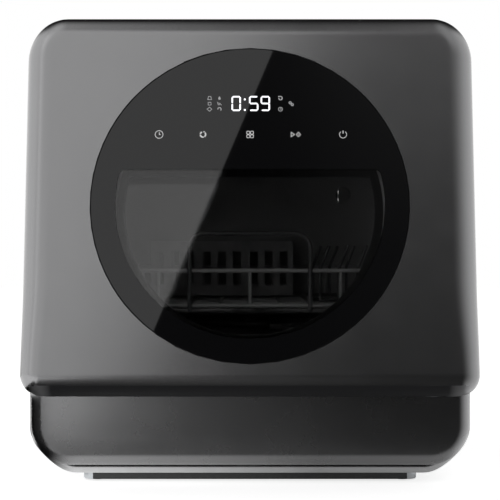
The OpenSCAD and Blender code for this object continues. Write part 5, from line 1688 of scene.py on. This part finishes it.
def softbox():
    """An area light whose right edge is mirrored in the glass as the line between two picture points."""
    mirrored_eye = CAMERA_AT - GLASS_N * 2 * (CAMERA_AT - DISC_CENTRE).dot(GLASS_N)
    rays = [(on_glass(*p) - mirrored_eye).normalized() for p in (EDGE_TOP, EDGE_LOW)]
    middle = (rays[0] + rays[1]).normalized()
    top, low = [mirrored_eye + r * BOX_FAR / r.dot(middle) for r in rays]
    up = (top - low).normalized()
    away = middle.cross(up).normalized()
    if away.x > 0:
        away = -away
    height = BOX_ABOVE + BOX_BELOW
    centre = (top + low) / 2 + away * BOX_W / 2 + up * (BOX_ABOVE - BOX_BELOW) / 2
    lamp = bpy.data.lights.new("softbox", "AREA")
    lamp.shape, lamp.size, lamp.size_y = "RECTANGLE", BOX_W, height
    lamp.energy = math.pi * BOX_W * height * RADIANCE
    box = bpy.data.objects.new("softbox", lamp)
    box.matrix_world = Matrix.Translation(centre) @ Matrix((
        (*-away, 0), (*up, 0), (*middle, 0), (0, 0, 0, 1))).transposed()
    box.visible_camera = False
    scene.collection.objects.link(box)
    return box


box_light = softbox()
print("softbox at", tuple(round(c, 2) for c in box_light.location))

# %% [markdown]
# The world gives each direction its own brightness. It could be an image of a studio, but a few sums need no file.
# They read the x, y and z of the ray that looks that way, which run from -1 to 1: x to the right, y behind the
# machine and z up. Only mirrors see that pattern. The eye sees white, and all else gets an even fill.

# %% The world's pattern
SIDE_LIGHT, CANOPY_LIGHT, FILL_LIGHT = 1.25, 0.10, 0.45


def side_light(x, y, z):
    """From dim in front to white at the sides and behind, with a fuller turn at the left."""
    dimness = 1 - y.ramp(-0.96, 0.5)
    right, left = 1 - dimness * dimness, y.ease(-0.79, -0.27) * 1.15
    around = right * x.ease(-0.05, 0.1) + left * x.ease(0.05, -0.1)
    # Dim overhead, from lower down at the back and from higher up at the sides
    height = z + y.at_least(0) * 0.45 - abs(x) * 0.35
    # Nothing shines from under the floor, except at the right
    return around * height.ease(0.70, 0.45) * z.ease(-0.12, -0.03).at_least(x.ease(0.25, 0.5))


def overhead_light(_, y, z):
    """Faint above the machine, fainter straight overhead and behind."""
    return z.ease(0.46, 0.60) * y.ease(0.8, 0.0) * (1 - z.ease(0.60, 0.95) * 0.7)


def fall_off(x, y, z):
    """A soft fall-off above the softbox at the left, and a fainter one at the right."""
    left = x.ramp(0.03, -0.30) * z.ease(0.62, 0.80) * 1.35
    right = x.ramp(0.10, 0.32) * z.ease(0.38, 0.50) * 0.68
    return (left + right) * y.ramp(0.25, -0.35)


def front_glow(x, y, z):
    """A faint glow at the right, fuller higher up, and a low fill that widens the softbox's edge for the fascia."""
    right = z.ramp(0.12, 0.50) * x.ease(0.02, 0.12) * 0.09 * y.ease(0.2, -0.5)
    low = x.ramp(0.11, -0.05) * x.ramp(-0.18, -0.06) * z.ease(-0.02, -0.08) * 0.17
    return right + low * y.ease(-0.5, -0.8)


# %% The world
def studio_world():
    world = bpy.data.worlds.new("studio")
    world.use_nodes = True
    scene.world = world
    tree = world.node_tree
    tree.nodes.clear()
    way = axes(texture_point(tree, "Generated"))
    shine = (side_light(*way) * SIDE_LIGHT).at_least(overhead_light(*way) * CANOPY_LIGHT)
    shine = shine.at_least(fall_off(*way)) + front_glow(*way)
    glossy, fill, seen = [add_node(tree, "ShaderNodeBackground", {"Color": (1, 1, 1, 1), "Strength": strength})
                          .outputs["Background"] for strength in (shine, FILL_LIGHT, 1.0)]
    path = add_node(tree, "ShaderNodeLightPath").outputs
    light = mix_shaders(path["Is Camera Ray"], mix_shaders(path["Is Glossy Ray"], fill, glossy), seen)
    add_node(tree, "ShaderNodeOutputWorld", {"Surface": light})
    print("nodes in the world:", len(tree.nodes))


studio_world()

# %% [markdown]
# To the eye the floor is white where nothing shades it. A floor that is white in mirrors too would light up every
# lower roll of the skin. So in mirrors it shines only round the machine's foot, fuller at the left, where the softbox
# stands, and beyond that patch the rays pass through to the world.

# %% The floor's finish
EYE_LIGHT = 0.72


def floor_finish():
    mat = finish("paper_floor", (0.8, 0.8, 0.8), 0.9, Specular_IOR_Level=0.0, Emission_Color=(1, 1, 1, 1))
    tree = mat.node_tree
    x, y, _ = axes(texture_point(tree))
    path = add_node(tree, "ShaderNodeLightPath").outputs
    eye, mirror, shadow = (Signal(path[f"Is {kind} Ray"]) for kind in ("Camera", "Glossy", "Shadow"))
    strip = (0.33 - x * 2.8).at_least(0.15).at_most(1.15)
    plug(mat, "Emission Strength", eye * EYE_LIGHT + mirror * strip)
    foot = y.ease(-0.285, -0.185) * (x.ease(-0.215, -0.165) * x.ease(0.25, 0.19))
    # A second patch at the left is there for the corner of the door's lip
    patch = x.ease(-0.25, -0.28) * y.ease(0.6, 0.4) * y.ease(-1.4, -1.0)
    unseen = (mirror * (1 - foot.at_least(patch))).at_least(shadow * (1 - foot))
    clear = add_node(tree, "ShaderNodeBsdfTransparent").outputs["BSDF"]
    surface = mix_shaders(unseen, tree.nodes["Principled BSDF"].outputs["BSDF"], clear)
    tree.links.new(surface, tree.nodes["Material Output"].inputs["Surface"])
    return mat


# %% A flag and the floor
# A low black card close to the left of the fascia, for mirrors only, keeps the fascia's left roll dark
FLAG_X, FLAG_Y0, FLAG_Y1, FLAG_Z0, FLAG_Z1 = -0.225, -0.265, -0.142, 0.010, 0.084
FLAG_CORNERS = ((FLAG_Y0, FLAG_Z0), (FLAG_Y1, FLAG_Z0), (FLAG_Y1, FLAG_Z1), (FLAG_Y0, FLAG_Z1))
flag_bm, floor_bm = bmesh.new(), bmesh.new()
flag_bm.faces.new([flag_bm.verts.new((FLAG_X, y, z)) for y, z in FLAG_CORNERS])
flag = new_piece("flag", flag_bm, finish("black_flag", (0.0, 0.0, 0.0), 1.0, Specular_IOR_Level=0.0))
for ray in ("camera", "diffuse", "transmission", "volume_scatter", "shadow"):
    setattr(flag, "visible_" + ray, False)
bmesh.ops.create_grid(floor_bm, x_segments=1, y_segments=1, size=6.0)
floor = new_piece("floor", floor_bm, floor_finish())
print("floor is", round(floor.dimensions.x, 1), "m wide")
